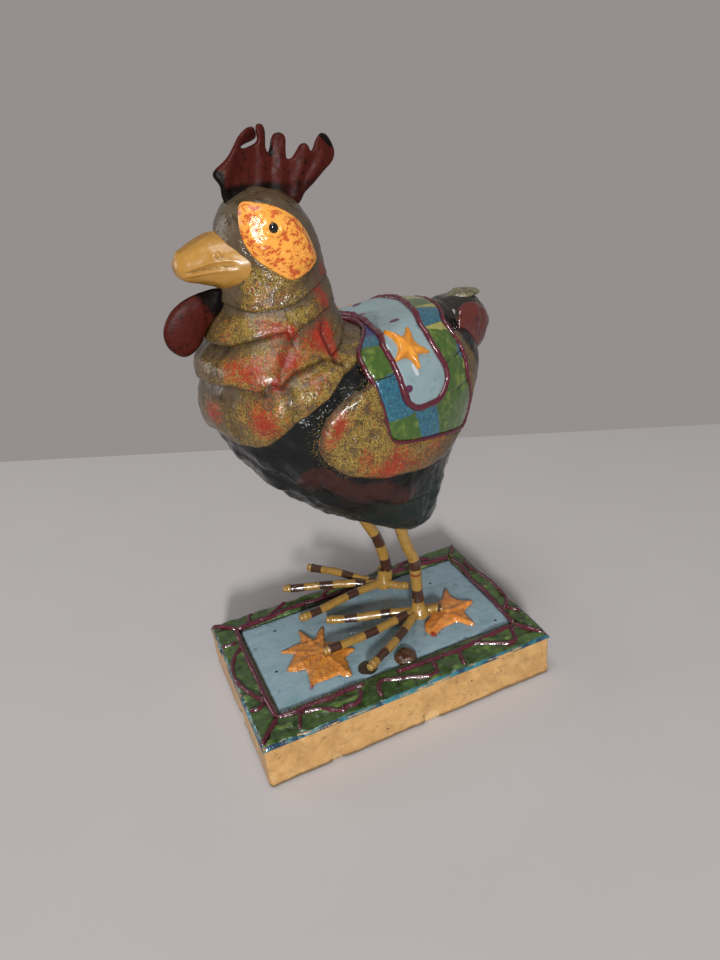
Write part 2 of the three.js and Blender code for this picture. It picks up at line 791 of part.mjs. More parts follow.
function tailPatch(side) {
  const points = placed(tailPatchShares, [tailY, tailZ], tailLength, tailHeight);
  const near = side === 1 ? clearance : -tailWidth;
  const prism = sidePrism(points, near, near + tailWidth - clearance);
  const skin = tailLoft(clearance + tailPatchThickness).subtract(tailLoft(clearance));
  return asGeometry(skin.intersect(asSolid(prism)));
}

function tailCrest() {
  const rings = crestShares.map(([y, size]) => {
    const ring = [];
    for (let spoke = 0; spoke < spokes / 2; spoke += 1) {
      const turn = (spoke / (spokes / 2)) * Math.PI * 2;
      ring.push(new THREE.Vector3(
        (size * crestWidth * Math.cos(turn)) / 2,
        tailY + crestSetback + y * crestLength,
        tailZ + tailHeight + crestLift + (size * crestHeight * Math.sin(turn)) / 2,
      ));
    }
    return ring;
  });
  return asGeometry(asSolid(loft(rings)).subtract(tailLoft(clearance)).subtract(wholeBird(clearance)));
}

// Body

function bodyCasting() {
  let solid = wholeBird(0).subtract(upperBird());
  for (const foot of feet) solid = solid.subtract(asSolid(legWire(foot, legRadius + clearance)));
  return asGeometry(solid);
}

function wing(side) {
  const points = placed(wingShares, [wingY, wingZ], wingLength, wingHeight);
  const lobe = sidePatch(points, side, clearance, clearance + wingThickness);
  return asGeometry(lobe.subtract(saddleCover()).subtract(tailLoft(clearance)));
}

// Materials

function paint(color, roughness, metalness) {
  return new THREE.MeshStandardMaterial({ color, roughness, metalness });
}

const paints = {
  tan: paint(0xb89a6a, 0.6, 0),
  sky: paint(0x86a3ad, 0.35, 0),
  green: paint(0x4d6b30, 0.3, 0),
  burgundy: paint(0x5c1a26, 0.3, 0),
  orange: paint(0xd6852f, 0.35, 0),
  umber: paint(0x4a2f22, 0.3, 0),
  ochre: paint(0xb08436, 0.35, 0.2),
  olive: paint(0x6b5a35, 0.25, 0),
  bottle: paint(0x16201e, 0.2, 0),
  red: paint(0x6b1d18, 0.3, 0.2),
  cream: paint(0x9a8f6a, 0.4, 0),
  black: paint(0x0b0a0a, 0.15, 0),
};

// Assembly

function addPiece(group, name, geometry, material) {
  const mesh = new THREE.Mesh(geometry, material.clone());
  mesh.name = name;
  group.add(mesh);
}

const figurine = new THREE.Group();
const base = new THREE.Group();
const bird = new THREE.Group();
bird.position.set(birdX, birdY, birdZ);
figurine.add(base, bird);

addPiece(base, 'base_block', baseBlock(), paints.tan);
addPiece(base, 'base_panel', basePanel(), paints.sky);
for (const side of Object.keys(corners)) {
  addPiece(base, `border_${side}`, borderStrip(side), paints.green);
  addPiece(base, `vine_${side}`, borderVine(side), paints.burgundy);
}
const frontStar = reliefStar(frontStarShares, frontTipShares, innerFront + frontStarInset);
const rearStar = reliefStar(rearStarShares, rearTipShares, innerRear - rearStarInset);
addPiece(base, 'star_front', frontStar, paints.orange);
addPiece(base, 'star_rear', rearStar, paints.orange);
addPiece(base, 'panel_mound', mound(), paints.umber);

for (const foot of feet) {
  addPiece(bird, `${foot.name}_leg`, leg(foot), paints.ochre);
  addPiece(bird, `${foot.name}_ankle`, ankle(foot, 0), paints.ochre);
  for (const row of foot.toes) {
    addPiece(bird, `${foot.name}_toe_${row[0]}`, toe(foot, row), paints.ochre);
  }
}

addPiece(bird, 'body', bodyCasting(), paints.bottle);
addPiece(bird, 'breast_band', asGeometry(band(collarShares, breastShares)), paints.olive);
addPiece(bird, 'collar_band', asGeometry(band(neckShares, collarShares)), paints.olive);
addPiece(bird, 'neck_band', neckBand(), paints.olive);
addPiece(bird, 'head', head(), paints.olive);
addPiece(bird, 'comb', asGeometry(combPlate(0)), paints.red);
addPiece(bird, 'beak_upper', beakHalf(true), paints.ochre);
addPiece(bird, 'beak_lower', beakHalf(false), paints.ochre);
addPiece(bird, 'saddle_blanket', saddleBlanket(), paints.green);
addPiece(bird, 'saddle_panel', saddlePanel(), paints.sky);
addPiece(bird, 'saddle_rope', saddleRope(ropeLine()), paints.burgundy);
addPiece(bird, 'saddle_cord', saddleRope(cordLine()), paints.burgundy);
addPiece(bird, 'tail', tailStub(), paints.bottle);
addPiece(bird, 'tail_crest', tailCrest(), paints.cream);
for (const [name, side] of [['left', 1], ['right', -1]]) {
  addPiece(bird, `wattle_${name}`, asGeometry(wattlePlate(side, 0)), paints.red);
  addPiece(bird, `eye_patch_${name}`, eyePatch(side), paints.orange);
  addPiece(bird, `eye_${name}`, asGeometry(eyeBead(side, 0)), paints.black);
  addPiece(bird, `wing_${name}`, wing(side), paints.olive);
  addPiece(bird, `saddle_star_${name}`, saddleStar(side), paints.orange);
  addPiece(bird, `tail_patch_${name}`, tailPatch(side), paints.red);
}

export default figurine;
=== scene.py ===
import itertools
import math
import bpy
import numpy as np
from mathutils import Matrix, Vector
from mathutils.geometry import delaunay_2d_cdt
from mathutils.kdtree import KDTree


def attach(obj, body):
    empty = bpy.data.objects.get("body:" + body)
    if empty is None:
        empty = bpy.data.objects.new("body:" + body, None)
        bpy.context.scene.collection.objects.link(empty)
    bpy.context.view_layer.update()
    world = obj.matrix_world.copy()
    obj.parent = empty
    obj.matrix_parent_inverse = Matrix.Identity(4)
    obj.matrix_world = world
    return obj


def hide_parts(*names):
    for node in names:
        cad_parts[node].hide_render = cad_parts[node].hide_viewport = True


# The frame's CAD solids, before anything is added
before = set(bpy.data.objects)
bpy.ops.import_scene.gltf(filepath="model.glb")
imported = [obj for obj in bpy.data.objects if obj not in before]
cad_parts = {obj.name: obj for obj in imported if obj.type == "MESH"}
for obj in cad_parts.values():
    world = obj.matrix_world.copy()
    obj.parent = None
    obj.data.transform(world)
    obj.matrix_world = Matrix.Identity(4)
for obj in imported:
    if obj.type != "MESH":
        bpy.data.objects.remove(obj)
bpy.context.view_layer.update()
MM = 0.001

# Camera of the photograph: its place, sensor and lens in millimetres and the axes of the picture
EYE = np.array([186.484, -70.421, 182.058])
PICTURE_RIGHT = np.array([0.4040179, 0.90975695, -0.09545591])
PICTURE_DOWN = np.array([0.39923606, -0.26925648, -0.87641972])
PICTURE_AHEAD = np.array([-0.82303105, 0.31597981, -0.47199221])
SENSOR_WIDTH, LENS = 36, 27.634


def make_camera():
    data = bpy.data.cameras.new("camera")
    data.sensor_width = SENSOR_WIDTH
    data.lens = LENS
    data.clip_start = 0.005
    data.clip_end = 20
    camera = bpy.data.objects.new("camera", data)
    turn = Matrix((PICTURE_RIGHT, -PICTURE_DOWN, -PICTURE_AHEAD)).transposed()
    camera.matrix_world = Matrix.Translation(Vector(EYE * MM)) @ turn.to_4x4()
    bpy.context.scene.collection.objects.link(camera)
    bpy.context.scene.camera = camera


make_camera()


# Noise and distances

# Factors without a common measure, so that the sine scatters neighbouring cells
CELL_FACTORS = np.array([127.1, 311.7, 74.7])
SEED_FACTOR, SCATTER = 19.19, 43758.5453


def corner_value(cell, seed):
    mixed = cell @ CELL_FACTORS + seed * SEED_FACTOR
    return 2 * ((np.sin(mixed) * SCATTER) % 1.0) - 1


def lumps(points, size, seed=0):
    """Smooth noise between -1 and 1, with lumps of a size in millimetres."""
    place = np.asarray(points, float) / size + 101.3
    cell = np.floor(place)
    share = place - cell
    share = share * share * (3 - 2 * share)
    total = np.zeros(len(place))
    for corner in itertools.product((0, 1), repeat=3):
        weight = np.prod(np.where(np.array(corner) == 1, share, 1 - share), axis=1)
        total += weight * corner_value(cell + np.array(corner), seed)
    return total


def noises(points, *kinds):
    """A sum of noises, each given by its height, the size of its lumps and its seed."""
    return sum(height * lumps(points, size, seed) for height, size, seed in kinds)


def flat_place(flat):
    """2-D points as places for the noise."""
    return np.column_stack([flat, flat[:, :1]])


def steps_along(line):
    return np.linalg.norm(np.diff(line, axis=0), axis=1)


def resample(line, step, closed=False):
    """Points at an even step along a line of any dimension."""
    line = np.asarray(line, float)
    if closed:
        line = np.vstack([line, line[:1]])
    length = np.concatenate([[0], np.cumsum(steps_along(line))])
    count = max(2, int(round(length[-1] / step)) + 1)
    at = np.linspace(0, length[-1], count)
    made = np.column_stack([np.interp(at, length, line[:, k]) for k in range(line.shape[1])])
    return made[:-1] if closed else made


def rounded(line, step, closed=False):
    """A smooth curve through the points of a line, at an even step."""
    line = np.asarray(line, float)
    if closed:
        line = np.vstack([line[-1:], line, line[:2]])
    else:
        line = np.vstack([2 * line[0] - line[1], line, 2 * line[-1] - line[-2]])
    knots = np.concatenate([[0], np.cumsum(steps_along(line) ** 0.5 + 1e-6)])
    made = []
    for k in range(1, len(line) - 2):
        a, b, c, d = line[k - 1:k + 3]
        ta, tb, tc, td = knots[k - 1:k + 3]
        t = np.linspace(tb, tc, 9)[:-1, None]
        ab = (tb - t) / (tb - ta) * a + (t - ta) / (tb - ta) * b
        bc = (tc - t) / (tc - tb) * b + (t - tb) / (tc - tb) * c
        cd = (td - t) / (td - tc) * c + (t - tc) / (td - tc) * d
        abc = (tc - t) / (tc - ta) * ab + (t - ta) / (tc - ta) * bc
        bcd = (td - t) / (td - tb) * bc + (t - tb) / (td - tb) * cd
        made.append((tc - t) / (tc - tb) * abc + (t - tb) / (tc - tb) * bcd)
    made = np.vstack(made if closed else [*made, line[-2:-1]])
    return resample(made, step, closed)


def nearest(points, line):
    """Distance from each point to the nearest point of a dense line, and that point's number."""
    tree = KDTree(len(line))
    for number, place in enumerate(np.asarray(line, float)):
        tree.insert(tuple(place) if len(place) == 3 else (*place, 0), number)
    tree.balance()
    points = np.asarray(points, float)
    if points.shape[1] == 2:
        points = np.column_stack([points, np.zeros(len(points))])
    found = [tree.find(place) for place in points.tolist()]
    return np.array([f[2] for f in found]), np.array([f[1] for f in found], int)


def inside(points, outline):
    """Which 2-D points lie inside a closed outline."""
    x, y = points[:, 0], points[:, 1]
    found = np.zeros(len(points), bool)
    for a, b in zip(outline, np.roll(outline, -1, axis=0)):
        if a[1] == b[1]:
            continue
        crosses = (a[1] > y) != (b[1] > y)
        found ^= crosses & (x < a[0] + (y - a[1]) * (b[0] - a[0]) / (b[1] - a[1]))
    return found


def depth_in(points, outline, step=0.3):
    """Signed distance of 2-D points from a closed outline, positive inside."""
    distance, _ = nearest(points, resample(outline, step, closed=True))
    return np.where(inside(points, np.asarray(outline, float)), distance, -distance)


def unit(rows):
    return rows / (np.linalg.norm(rows, axis=1)[:, None] + 1e-12)


def ease(value, low, high):
    share = np.clip((value - low) / (high - low), 0, 1)
    return share * share * (3 - 2 * share)


def bell(value, width):
    return np.exp(-(value / width) ** 2)


# Meshes

def make_mesh(name, points, faces, masks=None):
    mesh = bpy.data.meshes.new(name)
    mesh.from_pydata((np.asarray(points) * MM).tolist(), [], [tuple(map(int, face)) for face in faces])
    mesh.validate()
    for mask, values in (masks or {}).items():
        attribute = mesh.attributes.new(mask, "FLOAT", "POINT")
        attribute.data.foreach_set("value", np.asarray(values, np.float32))
    mesh.polygons.foreach_set("use_smooth", [True] * len(mesh.polygons))
    piece = bpy.data.objects.new(name, mesh)
    bpy.context.scene.collection.objects.link(piece)
    return piece


def finish_piece(piece, material, slot, *nodes):
    piece.data.materials.append(material)
    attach(piece, "root")
    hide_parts(*nodes)


def add_piece(name, points, faces, material, slot, masks=None, nodes=None):
    """A piece in place of the CAD node of its name, or of other nodes."""
    finish_piece(make_mesh(name, points, faces, masks), material, slot, *(nodes or [name]))


SIDES = ((1, "left"), (-1, "right"))


def turned(faces):
    return [tuple(reversed(face)) for face in faces]


def other_side(points):
    """The mirror image on the bird's right side."""
    return points * (-1, 1, 1) + (2 * BIRD_X, 0, 0)


def both_sides(points, faces, shift=(0, 0, 0)):
    """A left piece and its mirror image, which may lie a little off."""
    yield "left", points, faces
    yield "right", other_side(points) + shift, turned(faces)


def grid_faces(rows, columns):
    """Faces between rings of points."""
    faces = []
    for row in range(rows - 1):
        for column in range(columns):
            after = (column + 1) % columns
            above, below = row * columns, (row + 1) * columns
            faces.append((above + column, below + column, below + after, above + after))
    return faces


def away_from(points, middle, weights=(1, 1, 1)):
    """Unit directions away from a middle."""
    return unit((points - np.array(middle, float)) * weights)


def first_cap(columns):
    return tuple(range(columns))


def last_cap(rows, columns):
    return tuple(reversed(range((rows - 1) * columns, rows * columns)))


def sheet_faces(outline, cell, step=None):
    """Triangles over a closed 2-D outline: its points first, then an inner grid. Gives the
    points, the faces and the points' depth from the edge."""
    outline = np.asarray(outline, float)
    low, high = outline.min(0), outline.max(0)
    xs = np.arange(low[0] + cell / 2, high[0], cell)
    ys = np.arange(low[1] + cell / 2, high[1], cell * 0.87)
    grid = np.array([(x + (row % 2) * cell / 2, y) for row, y in enumerate(ys) for x in xs])
    distance = depth_in(grid, outline, cell / 2)
    grid = grid[distance > cell * 0.55]
    points = np.vstack([outline, grid])
    count = len(outline)
    edges = [(k, (k + 1) % count) for k in range(count)]
    found = delaunay_2d_cdt([Vector(p) for p in points], edges, [], 1, 1e-6)
    made = np.array([tuple(v) for v in found[0]])
    depth = np.maximum(depth_in(made, outline, step or cell / 3), 0)
    return made, [tuple(face) for face in found[2]], depth


def sweep(line, normals, half_width, height, section, closed=False):
    """A tube or bead along a line: its section is given as shares across and up."""
    line = np.asarray(line, float)
    if closed:
        tangent = np.roll(line, -1, axis=0) - np.roll(line, 1, axis=0)
    else:
        tangent = np.gradient(line, axis=0)
    tangent = unit(tangent)
    up = np.broadcast_to(np.asarray(normals, float), line.shape)
    up = unit(up - (up * tangent).sum(1)[:, None] * tangent)
    across = np.cross(tangent, up)
    section = np.asarray(section, float)
    half_width = np.broadcast_to(np.asarray(half_width, float), len(line))
    height = np.broadcast_to(np.asarray(height, float), len(line))
    rings = (
        line[:, None, :]
        + across[:, None, :] * (section[None, :, 0] * half_width[:, None])[..., None]
        + up[:, None, :] * (section[None, :, 1] * height[:, None])[..., None]
    )
    count = len(section)
    points = rings.reshape(-1, 3)
    faces = grid_faces(len(line), count)
    if closed:
        last = (len(line) - 1) * count
        for k in range(count):
            after = (k + 1) % count
            faces.append((last + k, k, after, last + after))
    else:
        faces += [first_cap(count), last_cap(len(line), count)]
    return points, faces


def joined(parts):
    """Several point and face lists as one."""
    points, faces, start = [], [], 0
    for some_points, some_faces in parts:
        points.append(np.asarray(some_points, float))
        faces += [tuple(k + start for k in face) for face in some_faces]
        start += len(some_points)
    return np.vstack(points), faces


def full_turn(count):
    return np.linspace(0, 2 * math.pi, count, endpoint=False)


CIRCLE = [(math.cos(a), math.sin(a)) for a in full_turn(16)]
BEAD = [(math.cos(a), math.sin(a)) for a in full_turn(12)]

# The bird's skin: rows of front point y and z, back point y and z, half width, lean to the back

BIRD_X = -9.0
STATIONS = np.array([
    (-17, 161.5, -16, 161.8, 0.5, 0), (-24, 158.3, -9, 160, 9, 0), (-27.5, 153, -4, 155, 11.8, 0),
    (-29, 146, -1.5, 148, 13, 0), (-29.2, 139, -0.3, 141, 13.4, 0), (-31, 131.5, 1, 131.5, 15.5, 0),
    (-35.2, 123.5, 4.4, 122, 19.2, -0.05), (-37.8, 115, 12.5, 120.4, 23.2, -0.2),
    (-37.8, 107, 25.5, 123.1, 26.2, -0.22), (-36.2, 98, 37, 118.5, 28.2, -0.18),
    (-32, 88.5, 43, 107, 28.8, -0.18), (-24, 78, 40.9, 95, 28, -0.18),
    (-12.8, 67.6, 37.2, 83, 25.5, -0.15), (0.6, 59.3, 32.2, 70, 20.5, -0.1),
    (11, 52.1, 27, 57, 13.2, 0), (18.1, 46.8, 20, 47.3, 0.8, 0),
])
LAST = len(STATIONS) - 1


def station_at(u):
    u = np.clip(np.asarray(u, float), 0, LAST)
    first = np.minimum(u.astype(int), LAST - 1)
    w = (u - first)[:, None]
    padded = np.vstack([2 * STATIONS[0] - STATIONS[1], STATIONS, 2 * STATIONS[-1] - STATIONS[-2]])
    a, b, c, d = (padded[first + k] for k in range(4))
    return 0.5 * (2 * b + (c - a) * w + (2 * a - 5 * b + 4 * c - d) * w ** 2 + (3 * b - a - 3 * c + d) * w ** 3)


# Where the photograph's skin lies lower than the even shape, or higher for a depth below 0:
# place down, degrees, depth, and how far it reaches down and around
DENTS = [(7.75, -52, 3.4, 0.9, 20), (6.3, -35, 1.2, 0.8, 30), (9.9, 26, -2.0, 1.7, 26), (9.9, -26, -2.0, 1.7, 26)]


def skin(u, turn):
    """Points of the skin in millimetres. The turn is 0 at the nape and half a turn at the breast."""
    row = station_at(u)
    front, back = row[:, 0:2], row[:, 2:4]
    cosine, sine = np.cos(turn), np.sin(turn)
    side = (front + back) / 2 + (back - front) / 2 * cosine[:, None]
    across = BIRD_X + np.maximum(row[:, 4], 0.1) * sine * (1 + row[:, 5] * cosine)
    points = np.column_stack([across, side])
    degrees = np.degrees(np.arctan2(sine, cosine))
    middle = np.column_stack([np.full(len(across), BIRD_X), (front + back) / 2])
    for place, aim, deep, down, around in DENTS:
        share = deep * np.exp(-((u - place) / down) ** 2 - ((degrees - aim) / around) ** 2)
        points = points + unit(middle - points) * share[:, None]
    return points


def skin_normal(u, turn):
    small = 0.01
    around = skin(u, turn + small) - skin(u, turn - small)
    down = skin(np.minimum(u + small, LAST), turn) - skin(np.maximum(u - small, 0), turn)
    return unit(np.cross(around, down))


def lifted(u, turn, rise):
    rise = np.broadcast_to(np.asarray(rise, float), np.shape(u))
    return skin(u, turn) + skin_normal(u, turn) * rise[:, None]


def on_side(points, low=0.0, high=15.0, rise=0.0):
    """The u and turn of points given by y and z in the side view, on the left side."""
    target = np.asarray(points, float)
    if rise:
        shifted = target
        for _ in range(4):
            u, turn = on_side(shifted, low, high).T
            shifted = shifted + target - lifted(u, turn, rise)[:, 1:]
        return np.column_stack([u, turn])
    points = target
    many = np.linspace(low, high, 1200)
    row = station_at(many)
    middle = (row[:, 0:2] + row[:, 2:4]) / 2
    reach = (row[:, 2:4] - row[:, 0:2]) / 2
    found = []
    for point in points:
        away = point - middle
        cross = away[:, 0] * reach[:, 1] - away[:, 1] * reach[:, 0]
        share = (away * reach).sum(1) / (reach ** 2).sum(1)
        places = np.where(cross[:-1] * cross[1:] <= 0)[0]
        if len(places) == 0:
            places = np.array([np.abs(cross).argmin()])
        best = places[np.abs(share[places]).argmin()]
        following = min(best + 1, len(many) - 1)
        gap = cross[best] - cross[following]
        w = cross[best] / gap if abs(gap) > 1e-12 else 0
        u = many[best] + w * (many[following] - many[best])
        cosine = share[best] + w * (share[following] - share[best])
        found.append((u, math.acos(float(np.clip(cosine, -1, 1)))))
    return np.array(found)


# Materials

class Paint:
    """A varnished paint under construction: a Principled shader with nodes added to it."""

    def __init__(self, name, roughness=0.3, coat=0.0, shine=0.5):
        self.material = bpy.data.materials.new(name)
        self.material.use_nodes = True
        self.tree = self.material.node_tree
        self.shader = self.tree.nodes["Principled BSDF"]
        self.shader.inputs["Roughness"].default_value = roughness
        self.shader.inputs["Specular IOR Level"].default_value = shine
        self.shader.inputs["Coat Weight"].default_value = coat
        self.shader.inputs["Coat Roughness"].default_value = 0.08
        self.place = self.node("TexCoord").outputs["Object"]
        self.base = self.relief = None

    def node(self, kind, inputs=None, **settings):
        made = self.tree.nodes.new("ShaderNode" + kind)
        for key, value in settings.items():
            setattr(made, key, value)
        sockets = {**dict(enumerate(made.inputs)), **{s.name: s for s in made.inputs if s.enabled}}
        for key, value in (inputs or {}).items():
            if isinstance(value, bpy.types.NodeSocket):
                self.tree.links.new(value, sockets[key])
            else:
                sockets[key].default_value = value
        return made

    def shifted(self, shift):
        """The place in the object, moved so that noises of one size differ."""
        if not shift:
            return self.place
        return self.node("VectorMath", {0: self.place, 1: (shift,) * 3}, operation="ADD").outputs[0]

    def noise(self, size, detail=3.0, rough=0.55, shift=0.0, place=None):
        """Noise with lumps of a size in millimetres."""
        place = place or self.shifted(shift)
        inputs = {"Vector": place, "Scale": 1 / (size * MM), "Detail": detail, "Roughness": rough}
        return self.node("TexNoise", inputs).outputs["Fac"]

    def drawn_out(self, scale, rotation):
        """The place for noise drawn out into strokes."""
        return self.node("Mapping", {"Vector": self.place, "Scale": scale, "Rotation": rotation}).outputs[0]

    def cracks(self, size):
        """Thin lines between cells of a size in millimetres."""
        inputs = {"Vector": self.place, "Scale": 1 / (size * MM)}
        edge = self.node("TexVoronoi", inputs, feature="DISTANCE_TO_EDGE").outputs["Distance"]
        return self.step(edge, 0.07, 0.0)

    def speckles(self, size, density, shift=0.0):
        """Round specks of paint at a share of the places given by the density."""
        place = self.shifted(shift)
        found = self.node("TexVoronoi", {"Vector": place, "Scale": 1 / (size * MM), "Randomness": 1.0})
        chance = self.node("SeparateColor", {0: found.outputs["Color"]}).outputs[0]
        reach = self.times(found.outputs["Distance"], 0.42)
        return self.step(self.math("SUBTRACT", self.math("SUBTRACT", density, chance), reach), -0.12, 0.02)

    def mask(self, name):
        return self.node("Attribute", attribute_name=name).outputs["Fac"]

    def math(self, operation, a, b):
        return self.node("Math", {0: a, 1: b}, operation=operation).outputs[0]

    def plus(self, a, b):
        return self.math("ADD", a, b)

    def times(self, a, b):
        return self.math("MULTIPLY", a, b)

    def ragged(self, mask, share, noise, low, high):
        """1 where a mask is high, with an edge that a share of a noise breaks up."""
        return self.step(self.plus(self.mask(mask), self.times(noise, share)), low, high)

    def step(self, value, low, high):
        """0 below low and 1 above high."""
        inputs = {"Value": value, "From Min": low, "From Max": high}
        return self.node("MapRange", inputs, interpolation_type="SMOOTHSTEP").outputs["Result"]

    def mix(self, first, second, share):
        first, second = (colour(tint) if isinstance(tint, str) else tint for tint in (first, second))
        inputs = {"Factor": share, "A": first, "B": second}
        made = self.node("Mix", inputs, data_type="RGBA")
        return [s for s in made.outputs if s.type == "RGBA"][0]

    def ground(self, first, second, share):
        self.base = self.mix(first, second, share)

    def over(self, second, share):
        """Another colour over the paint so far."""
        self.base = self.mix(self.base, second, share)

    def gloss(self, low, high, size, detail=3):
        """Roughness that wanders between two values."""
        inputs = {"Value": self.noise(size, detail, shift=8), "To Min": low, "To Max": high}
        result = self.node("MapRange", inputs).outputs["Result"]
        self.tree.links.new(result, self.shader.inputs["Roughness"])

    def bump(self, size, detail, reach, strength, shift=0.0):
        """Raise the surface by noise of a size times a reach, both in millimetres."""
        inputs = {"Height": self.noise(size, detail, shift=shift), "Distance": reach * MM, "Strength": strength}
        if self.relief is not None:
            inputs["Normal"] = self.relief
        self.relief = self.node("Bump", inputs).outputs["Normal"]

    def done(self, gloss=None, *bumps):
        """The material, with its wandering gloss and its bumps."""
        self.tree.links.new(self.base, self.shader.inputs["Base Color"])
        if gloss:
            self.gloss(*gloss)
        for bump in bumps:
            self.bump(*bump)
        if bumps:
            self.tree.links.new(self.relief, self.shader.inputs["Normal"])
        return self.material


def colour(text):
    """A linear colour from an sRGB hex string."""
    parts = [int(text[k:k + 2], 16) / 255 for k in (0, 2, 4)]
    return tuple(p / 12.92 if p <= 0.04045 else ((p + 0.055) / 1.055) ** 2.4 for p in parts) + (1.0,)


def mottled_paint(name, roughness, coat, first, second, size, patches, gloss, bump):
    """A varnished paint of two colours with patches of others, each given by its colour, the
    size, detail and shift of its noise, and where on the noise it starts and is full."""
    p = Paint(name, roughness, coat)
    p.ground(first, second, p.noise(size, 4))
    for patch, lump, detail, shift, low, high in patches:
        p.over(patch, p.step(p.noise(lump, detail, shift=shift), low, high))
    return p.done(gloss, bump)


def feather_paint():
    """Taupe varnished feathers stippled with gold, orange and red, with painted dark zones."""
    p = Paint("feather_paint", roughness=0.2, coat=0.08, shine=0.32)
    p.ground("44382a", "584936", p.noise(6, 3))
    p.over("30261a", p.step(p.noise(3.2, 5), 0.5, 0.72))
    gold_zone = p.times(p.mask("gold"), p.step(p.noise(2.6, 4, 0.6, shift=11), 0.25, 0.6))
    orange_zone = p.times(p.mask("orange"), p.step(p.noise(2.2, 4, 0.6, shift=13), 0.3, 0.6))
    p.over("5e4822", p.times(gold_zone, 0.8))
    p.over("40321a", p.speckles(0.34, p.times(gold_zone, 0.8), 9))
    for first, second, grain, size, zone, share, shift in (
        ("6f5a2a", "877034", p.noise(0.9, 2, shift=1), 0.27, gold_zone, 0.72, 0),
        ("806a30", "a08444", p.noise(0.7, 2, shift=1), 0.22, gold_zone, 0.42, 2),
        ("7e3a18", "a8592c", p.noise(0.9, 2, shift=4), 0.28, orange_zone, 0.7, 5),
    ):
        p.over(p.mix(first, second, grain), p.speckles(size, p.times(zone, share), shift))
    solid = p.step(p.plus(p.noise(0.9, 5, 0.75, shift=3), p.times(p.mask("red"), 0.3)), 0.66, 0.86)
    p.over(p.mix("641210", "84221a", p.noise(2, 2, shift=5)), p.times(solid, 0.85))
    bright = p.mix("7c1b14", "9c3420", p.noise(0.8, 2, shift=6))
    p.over(bright, p.speckles(0.28, p.times(p.mask("red"), 0.7), 7))
    # Painted shade: darker brown in the carved lines and along the top of each band, under the hem of the band above
    p.over("241a12", p.times(p.mask("groove"), 0.75))
    night = p.mix("050606", "0b0f0e", p.noise(3, 3, shift=7))
    green = p.ragged("deep", 0.5, p.noise(5, 4, shift=9), 0.6, 1.0)
    night = p.mix(night, p.mix("101817", "182421", p.noise(2.5, 3)), green)
    ember = p.ragged("ember", 0.7, p.noise(2.4, 5, 0.6, shift=4), 0.85, 1.3)
    night = p.mix(night, p.mix("24100e", "3a1a16", p.noise(1.4, 4, shift=8)), ember)
    night = p.mix(night, "66552a", p.speckles(0.26, p.times(p.mask("fleck"), 0.3), 4))
    p.over(night, p.ragged("dark", 0.35, p.noise(1.6, 4, shift=2), 0.55, 0.68))
    return p.done((0.06, 0.22, 1.2, 4), (3.2, 3, 0.6, 0.6, 21), (1.5, 4, 0.6, 0.6), (0.7, 3, 0.26, 0.6))


FEATHER = feather_paint()

# Feather bands: seams as degrees of turn from the nape and the place down the bird

CHIN_SEAM = [(0, 4.2), (60, 4.45), (85, 4.7), (125, 4.75), (150, 4.6), (180, 4.4)]
NECK_SEAM = [
    (0, 5.02), (30, 5.05), (56, 5.11), (71, 5.22), (81, 5.28), (88, 5.43), (93, 5.56), (97, 5.38),
    (108, 5.4), (121, 5.53), (134, 5.62), (152, 5.75), (180, 5.8),
]
COLLAR_SEAM = [
    (0, 5.65), (36, 5.88), (60, 6.3), (70, 6.5), (75, 6.85), (79, 6.55), (92, 6.6), (102, 6.68),
    (110, 6.9), (114, 7.05), (118, 6.94), (122, 7.01), (129, 7.09), (138, 6.92), (145, 6.84), (154, 6.89),
    (164, 6.9), (180, 6.95),
]
BREAST_SEAM = [
    (0, 6.38), (11, 6.5), (35, 6.62), (57, 7.03), (70, 7.4), (77, 7.62), (84, 7.73), (88, 7.76),
    (95, 7.98), (103, 8.23), (110, 8.31), (116, 8.43), (122, 8.51), (128, 8.68), (133, 8.84), (140, 8.99),
    (145, 9.01), (154, 8.91), (162, 8.79), (170, 8.61), (180, 8.55),
]


def from_nape(turn):
    """Degrees from the nape, on either side."""
    return np.degrees(np.arccos(np.cos(turn)))


def seam(points, turn):
    xs, ys = np.array(points).T
    return np.interp(from_nape(turn), xs, ys)


# Paint zones: x, y, z in millimetres, reach, strength. Each is repeated on the other side.
RED_SPOTS = [
    (8.3, -7.5, 124, 3.2, 1.1), (6.6, -6.1, 126.3, 3, 1), (10.3, -6.6, 120.9, 2.6, 1), (8.8, -16.5, 127.6, 1.6, 1.2),
    (5.8, -32.1, 120.5, 3.4, 0.8), (10.3, -28, 119.6, 4, 0.9), (11.5, -20.2, 121.9, 3.6, 0.8),
    (-2.5, -38.1, 108.2, 3, 0.7), (1, -37.1, 108, 3, 0.7), (13.2, -28.8, 109, 4.5, 0.65), (14, -27.3, 105.7, 4, 0.7),
    (14.4, -23.7, 116.8, 2.4, 0.9), (16.8, -14.6, 116, 3.4, 0.6), (7.9, -19.4, 128.7, 3.2, 0.7),
    (6.5, -22.5, 129.8, 3, 0.6), (9.6, -12.4, 123.6, 4, 0.7), (12.6, -18.5, 120.7, 3, 0.6),
    (3.3, -5.2, 132.6, 3, 0.9), (-0.3, -3.2, 140.1, 2.6, 0.8), (3.1, -6.3, 136.1, 2.4, 0.5),
    (21.4, -9.7, 105.6, 3, 1), (21.2, -11.3, 103.8, 2.6, 0.9), (20.7, -13.7, 100.9, 3, 0.9),
    (21.9, -5, 93.6, 3, 1), (21.7, -1.1, 88.3, 3.6, 0.9), (21.7, 3.1, 87.8, 3.6, 0.8), (21.7, 5.4, 92.1, 3.6, 0.8),
    (18.5, 17.9, 90.2, 4.5, 0.6), (20.9, 9.3, 87.4, 3.4, 0.7),
]
